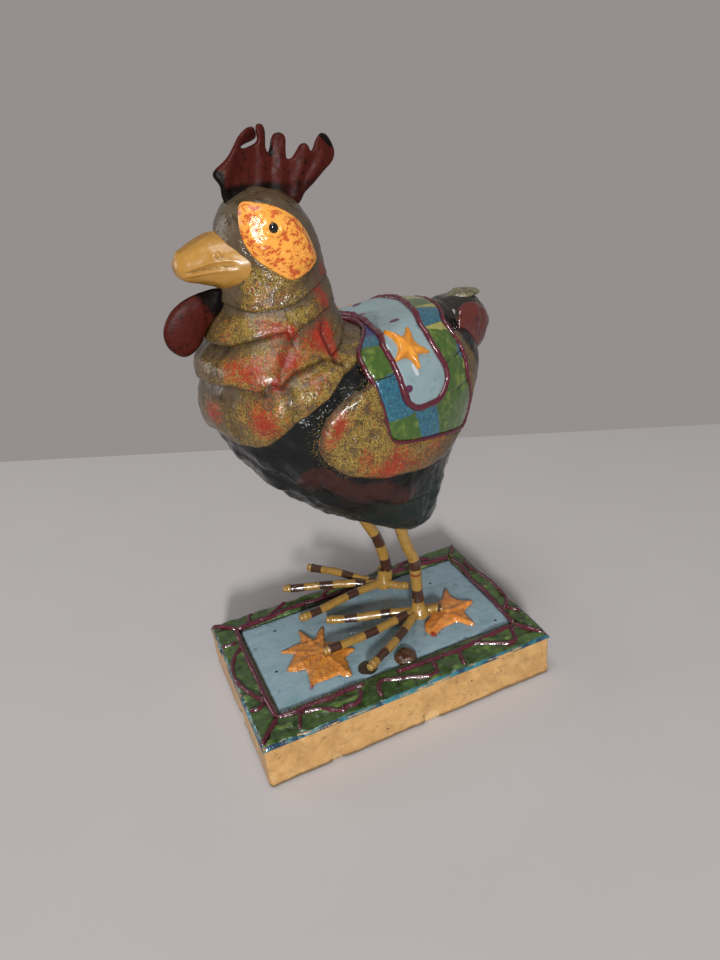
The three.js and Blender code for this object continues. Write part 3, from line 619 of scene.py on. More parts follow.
GOLD_SPOTS = [
    (3.2, -22.2, 141.7, 4, 0.9), (4.1, -21, 139.2, 4, 0.8), (4.9, -24.1, 131.3, 4, 0.9), (3.8, -27.5, 128.8, 4, 0.8),
    (7.4, -14.3, 131.3, 4, 0.9), (8.2, -22.9, 126.2, 3.4, 0.9), (6.1, -29.9, 123, 5, 1), (4.9, 0.6, 121.4, 5, 0.9),
    (13.8, -4.3, 118.6, 4, 1), (14.5, -13.3, 118.6, 5, 1), (17.6, -12.6, 115.6, 5, 0.9), (8.4, -33.2, 114.7, 5, 0.6),
    (10.9, -31.2, 113.5, 5, 0.8), (16.4, -23.6, 110.3, 5, 0.8), (13.7, -27, 102.7, 5, 0.7), (10.5, -24, 122, 6, 0.9),
    (12, -12, 122.5, 6, 0.9), (21.9, -5.9, 101.7, 5, 1), (21.7, -7.9, 99.1, 5.5, 1.1), (21.8, -3.4, 104.2, 5, 0.9),
    (20.8, -13.2, 98.7, 5, 0.9), (21.8, 1.9, 102.8, 4, 0.5), (20.3, -12.1, 91.3, 5, 0.8), (21.6, -8.1, 95.7, 6, 1.1),
    (20.4, 12.3, 92.6, 6, 0.6), (22.1, -0.5, 94.9, 6, 1), (20, -3, 112, 4, 0.9), (19, 22, 92, 8, 0.4),
    (-9, 36, 112, 10, 0.5), (8, 34, 98, 9, 0.5),
]
EMBER_SPOTS = [
    (15.2, -18.4, 89, 4, 1), (11.8, -20.3, 84.6, 4, 1), (16.8, -15.6, 89.2, 3, 0.9), (17.2, -11.4, 84.4, 5, 0.9),
    (17.3, 10.2, 75.8, 7, 0.5), (19.1, 0.5, 81.5, 5, 0.6), (17.4, 5.8, 74.6, 6, 0.5), (17.5, -4.8, 79, 6, 0.7),
]


def distance_to(points, place):
    return np.linalg.norm(points - np.array(place, float), axis=1)


def spots(points, rows):
    total = np.zeros(len(points))
    for x, y, z, reach, strength in rows:
        for across in (x, 2 * BIRD_X - x):
            total += strength * bell(distance_to(points, (across, y, z)), reach)
    return total


COLUMNS = 360
TURNS = np.arange(COLUMNS) * 2 * math.pi / COLUMNS
# How far a band starts under the band above, and how deep its first and last rows lie
TUCK, TUCK_DEPTH, HEM_DEPTH = 0.12, 0.9, 1.2


def band_rows(upper, lower, rise, step=0.065):
    """Rows of u and rise between two seams, from under the band above to past the hem."""
    top, bottom = seam(upper, TURNS), seam(lower, TURNS)
    count = max(6, int((bottom - top).max() / step))
    rows = [(top - TUCK, np.full(COLUMNS, -TUCK_DEPTH))]
    rows += [(top + (bottom - top) * s, rise(s, TURNS)) for s in np.linspace(0, 1, count)]
    last = rise(1.0, TURNS)
    rows.append((bottom + 0.035, last * 0.75 - 0.1))
    rows.append((bottom + 0.05, last * 0.2 - 0.35))
    rows.append((bottom + 0.02, np.full(COLUMNS, -HEM_DEPTH)))
    return rows


def skin_piece(name, rows, slot, node):
    u = np.concatenate([row[0] for row in rows])
    rise = np.concatenate([row[1] for row in rows])
    turn = np.tile(TURNS, len(rows))
    flat = skin(u, turn)
    points = lifted(u, turn, rise + sculpted(flat, u, turn))
    across = np.repeat(np.linspace(0, 1, len(rows)), COLUMNS)
    faces = turned(grid_faces(len(rows), COLUMNS))
    add_piece(name, points, faces, FEATHER, slot, body_masks(flat, u, turn, across, name), nodes=[node])


# The body's black zone, as degrees of turn and places down the bird
DARK_ZONE = [
    (84, 7.5), (76, 7.6), (75, 7.8), (77, 7.95), (81, 8.14), (84, 8.39), (88, 8.56), (91, 8.57), (96, 8.59),
    (100, 8.69), (108, 8.82), (112, 8.91), (117, 9.15), (120, 9.35), (122, 9.64), (121, 10.09), (118, 10.43),
    (111, 10.71), (104, 10.98), (96, 11.12), (86, 11.34), (73, 11.5), (56, 11.5), (40, 11.5), (20, 11.6),
    (0, 11.7), (0, 15.4), (185, 15.4), (185, 7.5),
]
# Carved lines of places down and degrees, with their depth and width
CARVED_LINES = [
    ([(5.35, 58), (5.7, 63), (6.1, 67), (6.43, 70), (6.85, 75), (7.3, 80), (7.75, 85)], 0.75, 1.0),
    ([(7.05, 114), (7.5, 115), (8.0, 119), (8.45, 122)], 0.5, 1.5),
    ([(5.56, 93), (5.9, 98), (6.3, 105), (6.7, 111), (7.0, 114)], 0.45, 1.4),
    ([(5.1, 20), (5.6, 30), (6.2, 38), (6.6, 42)], 0.5, 1.2),
    ([(5.75, 150), (6.2, 156), (6.9, 160)], 0.35, 1.6),
    ([(7.2, 150), (7.9, 152), (8.8, 150)], 0.35, 1.6),
    ([(9.3, 180), (9.8, 160), (10.4, 148), (10.9, 140)], 0.7, 1.6),
    ([(10.1, 128), (10.8, 134), (11.6, 132), (12.4, 126)], 0.6, 1.6),
    ([(11.2, 120), (11.9, 112), (12.3, 100), (12.5, 84)], 0.7, 1.5),
    ([(11.9, 72), (12.6, 76), (13.2, 84)], 0.5, 1.5),
    ([(12.6, 150), (13.1, 130), (13.3, 108), (13.6, 90)], 0.5, 1.5),
    ([(11.8, 40), (12.4, 50), (13.4, 62)], 0.5, 1.5),
]


def carved(flat, turn):
    """Depth of the carved lines at skin points."""
    depth = np.zeros(len(flat))
    degrees = from_nape(turn)
    on_left = flat.copy()
    on_left[:, 0] = BIRD_X + np.abs(flat[:, 0] - BIRD_X)
    for line, deep, wide in CARVED_LINES:
        line = rounded(np.array(line, float), 0.05)
        path = skin(line[:, 0], np.radians(line[:, 1]))
        near = (degrees > line[:, 1].min() - 25) & (degrees < line[:, 1].max() + 25)
        distance, number = nearest(on_left[near], path)
        ends = np.minimum(number, len(path) - 1 - number) / (0.25 * len(path))
        depth[near] += deep * bell(distance, wide) * np.clip(0.35 + ends, 0, 1)
    return depth


def sculpted(flat, u, turn):
    """The uneven cast surface, coarser toward the belly, with its carved lines."""
    coarse = noises(flat, (0.55, 8, 1), (0.32, 3.6, 2), (0.12, 1.5, 3))
    coarse += ease(u, 8.2, 9.6) * (0.7 * lumps(flat * (1, 0.6, 1), 5, 4) + 0.35 * lumps(flat, 2.4, 5))
    return coarse * (0.6 + 0.4 * ease(u, 0.4, 4.6)) - 1.25 * carved(flat, turn)


def body_masks(flat, u, turn, across, name):
    degrees = from_nape(turn)
    plane = np.column_stack([degrees * 0.5, u * 10])
    zone = np.array(DARK_ZONE, float) * (0.5, 10)
    depth = depth_in(plane, zone, 1.0)
    dark = np.clip(0.42 + depth / 2.2, 0, 1)
    wander = 0.12 * lumps(flat, 7, 301)
    rump = 0.6 * ease(52 - degrees, 0, 14) * ease(u, 7.7, 8.5)
    if name == "head":
        hem = ease(u, 3.0, 3.9) * ease(degrees, 62, 84) * (1 - ease(degrees, 128, 150))
    elif name == "body":
        hem = 0.3 + 0.4 * ease(degrees, 35, 70)
    else:
        hem = ease(across + wander, 0.16, 0.45) * (1 - 0.45 * ease(across + wander, 0.85, 0.98))
    sides = 0.25 + 0.75 * ease(degrees, 40, 80) * (1 - 0.6 * ease(degrees, 135, 165))
    return {
        "red": spots(flat, RED_SPOTS),
        "gold": np.clip(hem * sides * 0.85 + 0.35 * spots(flat, GOLD_SPOTS), 0, 1.1),
        "orange": np.clip(hem * sides * (0.35 + 0.5 * lumps(flat, 5, 303)) + 0.7 * spots(flat, RED_SPOTS), 0, 1.1),
        "ember": spots(flat, EMBER_SPOTS),
        "dark": np.where((u > 7.4) & (name == "body"), np.maximum(dark, rump), 0),
        # Painted shade: the carved lines' depth, and the top of each band where it tucks under the band above
        "groove": np.clip(carved(flat, turn) / 0.9 + 0.8 * (1 - ease(across, 0, 0.14)) * (name != "body"), 0, 1),
        "deep": ease(u, 10.8, 13),
        "fleck": np.clip(1 - np.abs(depth - 1.0) / 2.2, 0, 1) * (u < 10.6),
    }


def lap(reach):
    """A feather band's height over the skin: a groove under the band above, then a full lobe."""

    def rise(s, turn):
        around = 0.25 + 0.75 * (1 - np.cos(turn)) / 2
        lobe = 1.25 * ease(s, 0.0, 0.75) - 0.25 * ease(s, 0.8, 1.0)
        return reach * around * lobe - 0.35 * (1 - ease(s, 0, 0.22))

    return rise


def crown_rows():
    shares = np.linspace(0, 1, 90) ** 1.3
    bottom = seam(CHIN_SEAM, TURNS)
    rows = [(0.02 + (bottom - 0.02) * s, 0.35 * s ** 6 * np.ones(COLUMNS)) for s in shares]
    rows.append((bottom + 0.03, np.full(COLUMNS, 0.1)))
    rows.append((bottom + 0.03, np.full(COLUMNS, -1.0)))
    return rows


skin_piece("head", crown_rows(), "feather_olive", "head")
for band, above, below, reach in (
    ("neck", CHIN_SEAM, NECK_SEAM, 1.5),
    ("collar", NECK_SEAM, COLLAR_SEAM, 1.75),
    ("breast", COLLAR_SEAM, BREAST_SEAM, 1.9),
):
    skin_piece(f"{band}_feathers", band_rows(above, below, lap(reach)), "feather_olive", f"{band}_band")


def body_rows():
    top = seam(BREAST_SEAM, TURNS)
    shares = np.linspace(0, 1, 150)
    rows = [(top - 0.12, np.full(COLUMNS, -1.0))]
    rows += [(top + (14.995 - top) * s, np.zeros(COLUMNS)) for s in shares]
    return rows


skin_piece("body", body_rows(), "body_bottle", "body")

# Pieces laid on the skin, from outlines in u and degrees of turn. In the plane where they are cut,
# a degree and a station have these lengths in millimetres.

DEGREE, STATION = 0.49, 10.3
SKIRT = -0.6


def plane_line(outline, step=0.6):
    return rounded([(turn * DEGREE, u * STATION) for u, turn in outline], step, closed=True)


def off_plane(plane):
    """u and turn of points of the cutting plane."""
    return plane[:, 1] / STATION, np.radians(plane[:, 0] / DEGREE)


def blister(outline, cell, rise, side=1):
    """A raised patch of the skin, its rise a function of depth from the edge, skin points, u and
    turn. Gives points, faces, depth, u, turn and skin points."""
    plane = plane_line(outline, cell)
    flat, faces, depth = sheet_faces(plane, cell)
    u, turn = off_plane(flat)
    ground = skin(u, turn)
    points = lifted(u, turn, np.where(depth < cell * 0.2, SKIRT, rise(depth, ground, u, turn)))
    if side < 0:
        points, ground, faces = other_side(points), other_side(ground), turned(faces)
    return points, faces, depth, u, turn, ground


def dome_edge(depth, height, rim):
    share = np.clip(depth / rim, 0, 1)
    return height * np.sqrt(np.maximum(1 - (1 - share) ** 2, 0))


# Saddle: lines of y and z in the side view, from the front top over the hem to the rear top

ROPE_LINE = [
    (-0.6, 120), (-1, 118.2), (-0.4, 115.5), (0.6, 113.1), (1.3, 109), (1.8, 107), (2.4, 102.9), (3.1, 97.4),
    (4.6, 95.6), (9.7, 93.9), (18.9, 91.9), (28, 89.4), (33, 88.4), (36.3, 91), (36.8, 94.9), (35.9, 100.3),
    (34.6, 104.4), (34.3, 109.3), (33.3, 113.7), (31.5, 117.6), (30.3, 120.5),
]
CORD_LINE = [
    (7.4, 121.3), (6.7, 120.2), (7.4, 117.3), (8.3, 112.2), (9.4, 106.5), (10.7, 104.4), (13.3, 102.9), (16.8, 102.7),
    (20, 102.8), (22.9, 104.6), (24.8, 107.3), (24.6, 110.9), (23.0, 114.6), (21.8, 118), (21.5, 120.4), (21.2, 122.3),
]


def closed_over(side_points, rise, front, rear):
    """A closed outline over both sides of the bird from a line on its left side."""
    half = [(u, math.degrees(turn)) for u, turn in on_side(side_points, 5.5, 15, rise)]
    left = [*front, *half, *rear]
    return left + [(u, -turn) for u, turn in reversed(left)]


BLANKET = closed_over(ROPE_LINE, 1.9, [(6.62, 6), (6.68, 20), (6.8, 36), (6.95, 48)], [(8.6, 22), (8.5, 6)])
PANEL = closed_over(CORD_LINE, 2.0, [(6.8, 6), (6.86, 18), (6.98, 28)], [(7.9, 20), (7.85, 5)])

WING = [
    (8.54, 88), (8.51, 94), (8.6, 101), (8.84, 112), (9.2, 118), (9.6, 122), (10.09, 121), (10.43, 118),
    (10.71, 111), (10.98, 104), (11.12, 96), (11.34, 86), (11.54, 73), (11.58, 64), (11.53, 56), (11.5, 46),
    (11.35, 34), (11.0, 22), (10.6, 12), (10.2, 8), (9.7, 8), (9.3, 20), (8.9, 40), (8.6, 60), (8.1, 72),
    (8.3, 80),
]
WING_LINES = [
    ([(9.7, 76), (10.2, 80), (10.9, 80), (11.3, 77)], 0.4, 0.8),
    ([(9.8, 56), (10.3, 50), (10.9, 44)], 0.35, 0.9),
    ([(9.2, 96), (9.7, 92), (10.3, 92), (11.0, 90)], 0.25, 1.4),
]


def skin_line(line, step=None):
    """Skin points along a line of places down and degrees."""
    line = np.array(line, float) if step is None else resample(line, step)
    return skin(line[:, 0], np.radians(line[:, 1]))


def wing_rise(depth, ground, u, turn):
    rise = dome_edge(depth, 1.0, 3.2) * (2.3 - 1.1 * ease(np.degrees(turn), 60, 20))
    rise += noises(ground, (0.5, 7, 11), (0.34, 3, 12), (0.1, 1.4, 13))
    for line, deep, wide in WING_LINES:
        distance, _ = nearest(ground, skin_line(rounded(line, 0.05)))
        rise -= deep * bell(distance, wide)
    here = np.column_stack([np.degrees(turn) * DEGREE, u * STATION])
    away = -depth_in(here, plane_line(BLANKET), 0.4)
    return np.where(away < 0.6, rise * ease(away, -1.5, 0.6) - 0.9 * ease(-away, -0.6, 1.5), rise)


def wing_masks(ground, depth, u, turn):
    degrees = np.degrees(turn)
    front = ease(degrees, 66, 84)
    low = ease(u, 10.2, 11.2)
    middle = bell(u - 10.5, 0.75) * ease(degrees, 30, 60)
    gold = 0.25 + 0.75 * np.maximum(middle, front * 0.8) - 0.3 * low + 0.25 * spots(ground, GOLD_SPOTS)
    red = spots(ground, RED_SPOTS)
    return {
        "dark": 0.62 * ease(42 - degrees, 0, 12) * (1 - ease(u, 9.9, 10.6)),
        "red": red,
        "gold": np.clip(gold, 0, 1) * ease(depth, 0.3, 1.6),
        "orange": np.clip(0.15 + 0.4 * middle + 0.6 * red + 0.35 * lumps(ground, 5, 305), 0, 1),
    }


for side, name in SIDES:
    points, faces, depth, u, turn, ground = blister(WING, 0.62, wing_rise, side)
    add_piece(f"wing_{name}", points, faces, FEATHER, "feather_olive", wing_masks(ground, depth, u, turn))

# Head pieces

def plate(outline, cell, middle, thick, rim, bend):
    """A sheet standing in the side view: an outline of y and z, rounded at its edge and bent."""
    outline = rounded(outline, cell, closed=True)
    flat, faces, depth = sheet_faces(outline, cell)
    count, border = len(flat), len(outline)
    depth[:border] = 0
    half = dome_edge(depth, 1.0, rim) * thick / 2
    centre = middle + bend(flat)
    near, far = (np.column_stack([centre + way * half, flat]) for way in (1, -1))
    far[:border] = near[:border]
    behind = [tuple(k if k < border else k + count for k in face) for face in turned(faces)]
    return np.vstack([near, far]), [*faces, *behind], np.vstack([flat, flat]), np.tile(depth, 2)


# The comb's outline, with its slit reached through a closed cut between two prongs
COMB = [
    (-24.4, 162.9), (-25.6, 165.4), (-25.2, 166.3), (-21.9, 168.8), (-20.1, 170.8), (-18.1, 173.7), (-16.5, 174.9),
    (-14.8, 175.3), (-13.3, 175), (-12.99, 174.2), (-12.99, 172.9), (-13.6, 172.3), (-15, 171.9), (-16.8, 171.5),
    (-17.7, 171), (-16.8, 170.7), (-15, 171), (-13.5, 171.5), (-12.88, 172.2), (-12.88, 174.4), (-12.4, 175.5),
    (-10.9, 175.5), (-10.3, 174.4), (-10.5, 172), (-10.8, 170.2), (-10.4, 169), (-9.7, 170), (-9.1, 171.8),
    (-8.2, 173), (-6.5, 173.1), (-5.5, 172), (-5.7, 169.5), (-5.7, 166.9), (-4.6, 167), (-3.4, 168.2), (-2, 169.9),
    (-0.6, 170), (0.2, 169), (0.6, 168), (1.3, 168.6), (2.4, 170.6), (4.2, 171.8), (6.2, 171.2), (7.4, 169),
    (7.6, 167.2), (6.7, 165), (4, 162.9), (1, 160.5), (-2.1, 158.2), (-3.6, 156.3), (-5.3, 155), (-7.4, 155.5),
    (-11, 156.5), (-16.3, 158), (-20, 158), (-23.2, 157.5), (-24.2, 160.2),
]
PRONGS = [
    ((-23.5, 162.5), (-19.5, 170.5), (-15.5, 174)), ((-11.9, 174.6), (-12.4, 168), (-14, 160)),
    ((-7.2, 172.2), (-8, 166), (-9, 158.5)), ((-0.9, 169), (-2.6, 164), (-5, 158)),
    ((4.6, 170), (3.4, 165.5), (-1.5, 160.5)),
]


def comb_ridges(flat):
    total = np.zeros(len(flat))
    for prong in PRONGS:
        total = np.maximum(total, bell(nearest(flat, rounded(prong, 0.3))[0], 1.7))
    return total


def comb_bend(flat):
    y, z = flat[:, 0], flat[:, 1]
    lean = 1.2 * ease(z, 160, 176) * np.sin((y + 26) / 3.4)
    curl = 2.2 * ease(z, 170.6, 175.6) * ease(-y, 12, 17) - 1.5 * ease(z, 166, 172) * ease(y, 1, 7)
    return lean + curl + 0.55 * comb_ridges(flat) + 0.15 * lumps(flat_place(flat), 2.2, 21)


def comb_masks(flat, depth):
    y, z = flat[:, 0], flat[:, 1]
    root = ease(164 - z, 0, 4) * (0.2 + 0.7 * ease(-y, 6, 16)) + 0.35 * ease(170 - z, 0, 12)
    front = ease(-y, 21.5, 24.5) * ease(168 - z, 0, 3)
    tip = ease(y + 0.9 * (z - 170), 3.6, 5.2) * ease(z, 167.5, 169)
    streak = ease(0.9 - np.abs(y + 9.7), 0, 0.6) * ease(z, 167, 169)
    # Painted shade: darker in the valleys between the raised prongs
    valley = 0.3 * (1 - comb_ridges(flat)) * ease(depth, 0.3, 1.4)
    return {"dark": np.clip(np.maximum.reduce([root, front, tip, streak, valley]), 0, 1)}


def red_metal():
    p = Paint("red_metal", roughness=0.45, shine=0.09)
    p.ground("34110d", "4a1912", p.noise(3, 4))
    p.over("1c0a08", p.step(p.noise(1.6, 5, shift=2), 0.5, 0.75))
    dark = p.ragged("dark", 0.6, p.noise(1.6, 4, 0.6, shift=4), 0.55, 1.1)
    p.over("0b0706", dark)
    return p.done((0.3, 0.55, 1.3), (1.2, 4, 0.2, 0.6), (0.4, 2, 0.05, 0.5))


RED_METAL = red_metal()


def make_comb():
    points, faces, flat, depth = plate(COMB, 0.4, BIRD_X, 1.5, 0.7, comb_bend)
    add_piece("comb", points, faces, RED_METAL, "sheet_red", comb_masks(flat, depth))


make_comb()

WATTLE = [
    (-29.3, 138.5), (-33.6, 138.7), (-37.6, 138), (-42.8, 135.7), (-46.2, 130.8), (-45.9, 126.2), (-42.6, 123),
    (-40, 123.4), (-37.2, 125.6), (-34.5, 129.2), (-31, 132), (-28.2, 134),
]


def make_wattles():
    for side, name, shift in ((1, "left", (0, 0, 0)), (-1, "right", (0, 1.6, -1.2))):

        def bend(flat):
            y = flat[:, 0]
            bow = 0.5 * ease(-y, 34, 46) + 0.3 * np.sin(y / 2.2)
            return side * (bow + 0.7 * lumps(flat_place(flat), 2.4, 31) * ease(y, -39, -34))

        points, faces, flat, _ = plate(WATTLE, 0.5, BIRD_X + side * 3, 3.2, 4.4, bend)
        neck = ease(flat[:, 0] + 0.6 * (flat[:, 1] - 134), -37, -31.5) * 0.85
        add_piece(f"wattle_{name}", points + np.array(shift), faces, RED_METAL, "sheet_red", {"dark": neck})


make_wattles()


def beak_row(values, y):
    """A height or width along the beak, evened out."""
    ys, rows = np.array(values[::-1], float).T
    padded = np.pad(np.interp(y, ys, rows), 3, mode="edge")
    return np.convolve(padded, np.ones(7) / 7, mode="valid")


BEAK_TOP = [
    (-20, 153), (-24, 152.6), (-26.3, 152.2), (-30.7, 151.9), (-32.7, 151.3), (-35.3, 150.2), (-37.4, 149.1),
    (-38.6, 148.3), (-39.2, 147.6), (-39.5, 147.2),
]
BEAK_BOTTOM = [
    (-20, 136), (-25, 137.3), (-29, 138), (-30.7, 139.2), (-34, 140.4), (-37.2, 141.3), (-38.7, 142.2), (-39.2, 142.7),
    (-39.5, 143),
]
BEAK_HALF = [
    (-20, 11.4), (-23, 10.9), (-27, 9.6), (-31.1, 7.9), (-35.1, 5.9), (-38.1, 4.4), (-39.2, 3.6), (-39.5, 3.2),
]


def beak_section(value, sine, lower_power):
    """A share across or up the beak's section, fuller in its lower half."""
    return np.sign(value) * np.abs(value) ** np.where(sine > 0, 1.05, lower_power)


def make_beak():
    rows, front_rows, spokes = 100, 18, 128
    arc = np.linspace(0, math.pi / 2, front_rows + 1)[1:]
    ys = -20 - 19.1 * (1 - (1 - np.linspace(0, 1, rows)) ** 1.6)
    ys = np.concatenate([ys, ys[-1] - 0.8 * np.sin(arc)])
    size = np.concatenate([np.ones(rows), np.maximum(np.cos(arc), 0.001) ** 0.6])
    rows += front_rows
    top, bottom, half = (beak_row(line, ys) for line in (BEAK_TOP, BEAK_BOTTOM, BEAK_HALF))
    cosine, sine = np.cos(full_turn(spokes)), np.sin(full_turn(spokes))
    across, up = beak_section(cosine, sine, 0.75), beak_section(sine, sine, 0.8)
    px = ((half * size)[:, None] * across).ravel()
    py = ys.repeat(spokes)
    pz = (((top + bottom) / 2)[:, None] + ((top - bottom) / 2 * size)[:, None] * up).ravel()
    points = np.column_stack([px, py, pz])
    sideways = (across / half[:, None]).ravel() * 8
    outward = unit(np.column_stack([sideways, np.full(len(points), -0.35), np.tile(up, rows)]))
    px = np.abs(px)

    # The mouth's groove and lips, the nostril with its ring, and the ridge on top
    side = ease(px / half.repeat(spokes), 0.3, 0.7)
    mouth = 144.1 + 0.8 * np.sin((py + 38) / 11 * math.pi / 1.6)
    upper = 144.3 + 2.2 * np.sin(np.clip((py + 38) / 12, 0, 1.2) * math.pi / 1.5)
    reach = side * ease(py, -39, -36) * (1 - ease(py, -28, -24.5))
    push = reach * (0.38 * bell(pz - mouth + 0.75, 0.45) - 0.5 * bell(pz - mouth, 0.32))
    push += reach * (0.3 * bell(pz - upper, 0.4) - 0.22 * bell(pz - (mouth + upper) / 2, 0.35) * ease(py, -35, -32))
    nostril = np.hypot(py + 29.4, pz - 148.0)
    ring = bell(nostril - 1.0, 0.25) * ease(148.4 - pz, 0, 0.8)
    push += side * (0.5 * bell(nostril, 0.55) - 0.2 * ring)
    push += 0.45 * bell(px, 0.9) * ease(pz, 147, 149) * ease(-py, 22, 30)
    push += noises(points, (0.2, 4, 41), (0.1, 1.5, 42))
    points = points + outward * push[:, None] + (BIRD_X, 0, 0)
    # Painted shade along the mouth's groove and in the nostril's ring; also a dark line along the top near the tip
    dark = bell(pz - mouth, 0.35) * reach * 0.6 + ring * side * 0.7
    dark += 0.5 * ease(pz, 147.5, 149) * (1 - ease(px, 1.2, 3)) * ease(-py, 25, 30)

    p = Paint("beak_paint", roughness=0.35, coat=0.12)
    p.ground("8e6526", "a67a34", p.noise(4, 4))
    p.over("5c4019", p.ragged("dark", 0.3, p.noise(1, 3), 0.35, 0.9))
    paint = p.done((0.26, 0.45, 1.5), (1.6, 4, 0.2, 0.5))
    faces = [*grid_faces(rows, spokes), tuple(reversed(last_cap(rows, spokes)))]
    add_piece("beak", points, faces, paint, "beak_ochre", {"dark": dark}, nodes=["beak_upper", "beak_lower"])


make_beak()

EYE_PATCH = [
    (-21.5, 158.3), (-17.6, 158.4), (-13, 156.7), (-8.4, 152.6), (-6, 147.3), (-5.4, 143.3), (-7, 141.2), (-10, 139.9),
    (-13.4, 139.5), (-18.7, 143.4), (-22.2, 147.7), (-23.2, 153.3),
]
# The bead's place down the skin and its degrees of turn, its height over the skin, and its radius
EYE_U, EYE_TURN, EYE_RISE, EYE_RADIUS = 2.22, 92.0, 1.9, 1.25


def eye_spot(rise):
    return lifted(np.array([EYE_U]), np.radians([EYE_TURN]), rise)[0]


def eye_patch_paint():
    p = Paint("eye_patch_paint", roughness=0.25, coat=0.04, shine=0.3)
    p.ground("d48c34", "e4a24c", p.noise(4, 3))
    strokes = p.noise(1.6, 5, 0.65, place=p.drawn_out((1, 0.85, 1.1), (1.3, 0, 0)))
    mottle = p.step(p.plus(strokes, p.times(p.mask("red"), 0.14)), 0.62, 0.73)
    p.over(p.mix("96291a", "b84526", p.noise(0.8, 3, shift=5)), p.times(mottle, 0.85))
    p.over("a83a1f", p.speckles(0.55, p.times(p.mask("red"), 0.16), 3))
    p.over("d99a4a", p.step(p.mask("rim"), 0.3, 0.8))
    return p.done((0.08, 0.2, 1.8), (1.8, 4, 0.4, 0.6), (0.8, 3, 0.16, 0.6))


def eye_bead_paint():
    p = Paint("eye_bead", roughness=0.06, coat=0.5)
    p.ground("050505", "15100d", p.noise(0.8, 2))
    return p.done()


def ball_of(radii, rings=20, spokes=32):
    """A closed ball around the origin, of one radius along each axis."""
    tilts = np.linspace(0, math.pi, rings + 1)[1:-1]
    turns = full_turn(spokes)
    rows = [(math.sin(a) * math.cos(b), math.sin(a) * math.sin(b), math.cos(a)) for a in tilts for b in turns]
    top, bottom, last = len(rows), len(rows) + 1, len(rows) - spokes
    faces = grid_faces(rings - 1, spokes)
    for k in range(spokes):
        after = (k + 1) % spokes
        faces += [(top, k, after), (bottom, last + after, last + k)]
    return np.array([*rows, (0, 0, 1), (0, 0, -1)]) * radii, faces


def make_eyes():
    outline = [(u, math.degrees(turn)) for u, turn in on_side(EYE_PATCH, 0.2, 6)]
    patch, bead = eye_patch_paint(), eye_bead_paint()
    for side, name in SIDES:
        eye = eye_spot(EYE_RISE)

        def below(ground):
            return ease(eye[2] - ground[:, 2], -0.6, 0.8)

        def rise(depth, ground, *_):
            ring = 0.3 * bell(distance_to(ground, eye_spot(0)) - 1.7, 0.4) * below(ground)
            height = 1 if side > 0 else 0.25 + 0.75 * ease(ground[:, 1], -26, -17)
            dome = dome_edge(depth, 1.25, 1.3) + 0.9 * ease(depth, 0, 6)
            return dome * height + ring + noises(ground, (0.15, 3, 51), (0.07, 1.3, 52))

        points, faces, depth, u, turn, ground = blister(outline, 0.45, rise, side)
        if side < 0:
            eye = other_side(eye)
        gap = distance_to(ground, eye)
        masks = {
            "red": 0.5 + 0.5 * np.clip(depth / 2.5, 0, 1) - 1.2 * bell(gap, 2.6),
            "rim": bell(gap - 2.0, 0.5) * below(ground),
        }
        add_piece(f"eye_patch_{name}", points, faces, patch, "patch_orange", masks)
        ball = make_mesh(f"eye_{name}", *ball_of(EYE_RADIUS * np.array([0.75, 1.0, 1.12])))
        ball.location = Vector(eye * MM)
        finish_piece(ball, bead, "bead_black", f"eye_{name}")


make_eyes()

# Saddle

def blanket_rise(depth, ground, *_):
    return dome_edge(depth, 1.5, 0.9) + noises(ground, (0.12, 4, 61), (0.06, 1.6, 62))


def panel_rise(depth, ground, *_):
    return dome_edge(depth, 1.95, 0.8) + 0.08 * lumps(ground, 3, 63)


# Painted blocks of the saddle's band: place down the skin, degrees, and 0 green, 1 teal,
# 2 navy, 3 yellow-green
BLOCKS = [
    (6.85, 40, 2), (7.05, 52, 1), (7.3, 58, 1), (7.75, 70, 0), (8.2, 77, 0), (8.95, 84, 1), (9.4, 87, 1),
    (9.93, 91, 0), (10.2, 88, 0), (10.35, 84, 0), (10.38, 77, 1), (10.45, 73, 1), (10.5, 66, 0), (10.35, 60, 0),
    (10.2, 54, 0), (9.85, 48, 0), (9.75, 43, 3), (9.6, 47, 0), (9.45, 41, 1), (9.2, 45, 0), (8.95, 41, 0),
    (8.78, 37, 3), (8.54, 32, 1), (8.4, 27, 1), (8.3, 23, 1), (8.24, 19, 3), (8.15, 15, 0), (8.05, 8, 0),
    (8.0, -4, 3), (8.0, -14, 0), (7.95, -24, 2), (8.0, -32, 2), (8.2, -42, 0), (6.6, 12, 2), (6.6, -12, 2),
]
DIVIDERS = [((8.5, 86), (8.72, 77)), ((10.04, 58), (10.14, 40)), ((9.38, 54), (9.46, 38))]


def saddle_masks(u, turn):
    degrees = np.degrees(turn)
    degrees = np.where(degrees < -40, -degrees, degrees)
    centres = np.array(BLOCKS, float)
    place = skin(centres[:, 0], np.radians(centres[:, 1]))
    folded = skin(u, np.radians(degrees))
    gap = np.linalg.norm(folded[:, None, :] - place[None, :, :], axis=2)
    kind = centres[gap.argmin(axis=1), 2]
    masks = {name: (kind == number) * 1.0 for number, name in ((1, "teal"), (2, "navy"), (3, "straw"))}
    cuts = [bell(nearest(folded, skin_line(cut, 0.05))[0], 0.32) for cut in DIVIDERS]
    return {**masks, "divider": np.maximum.reduce(cuts)}


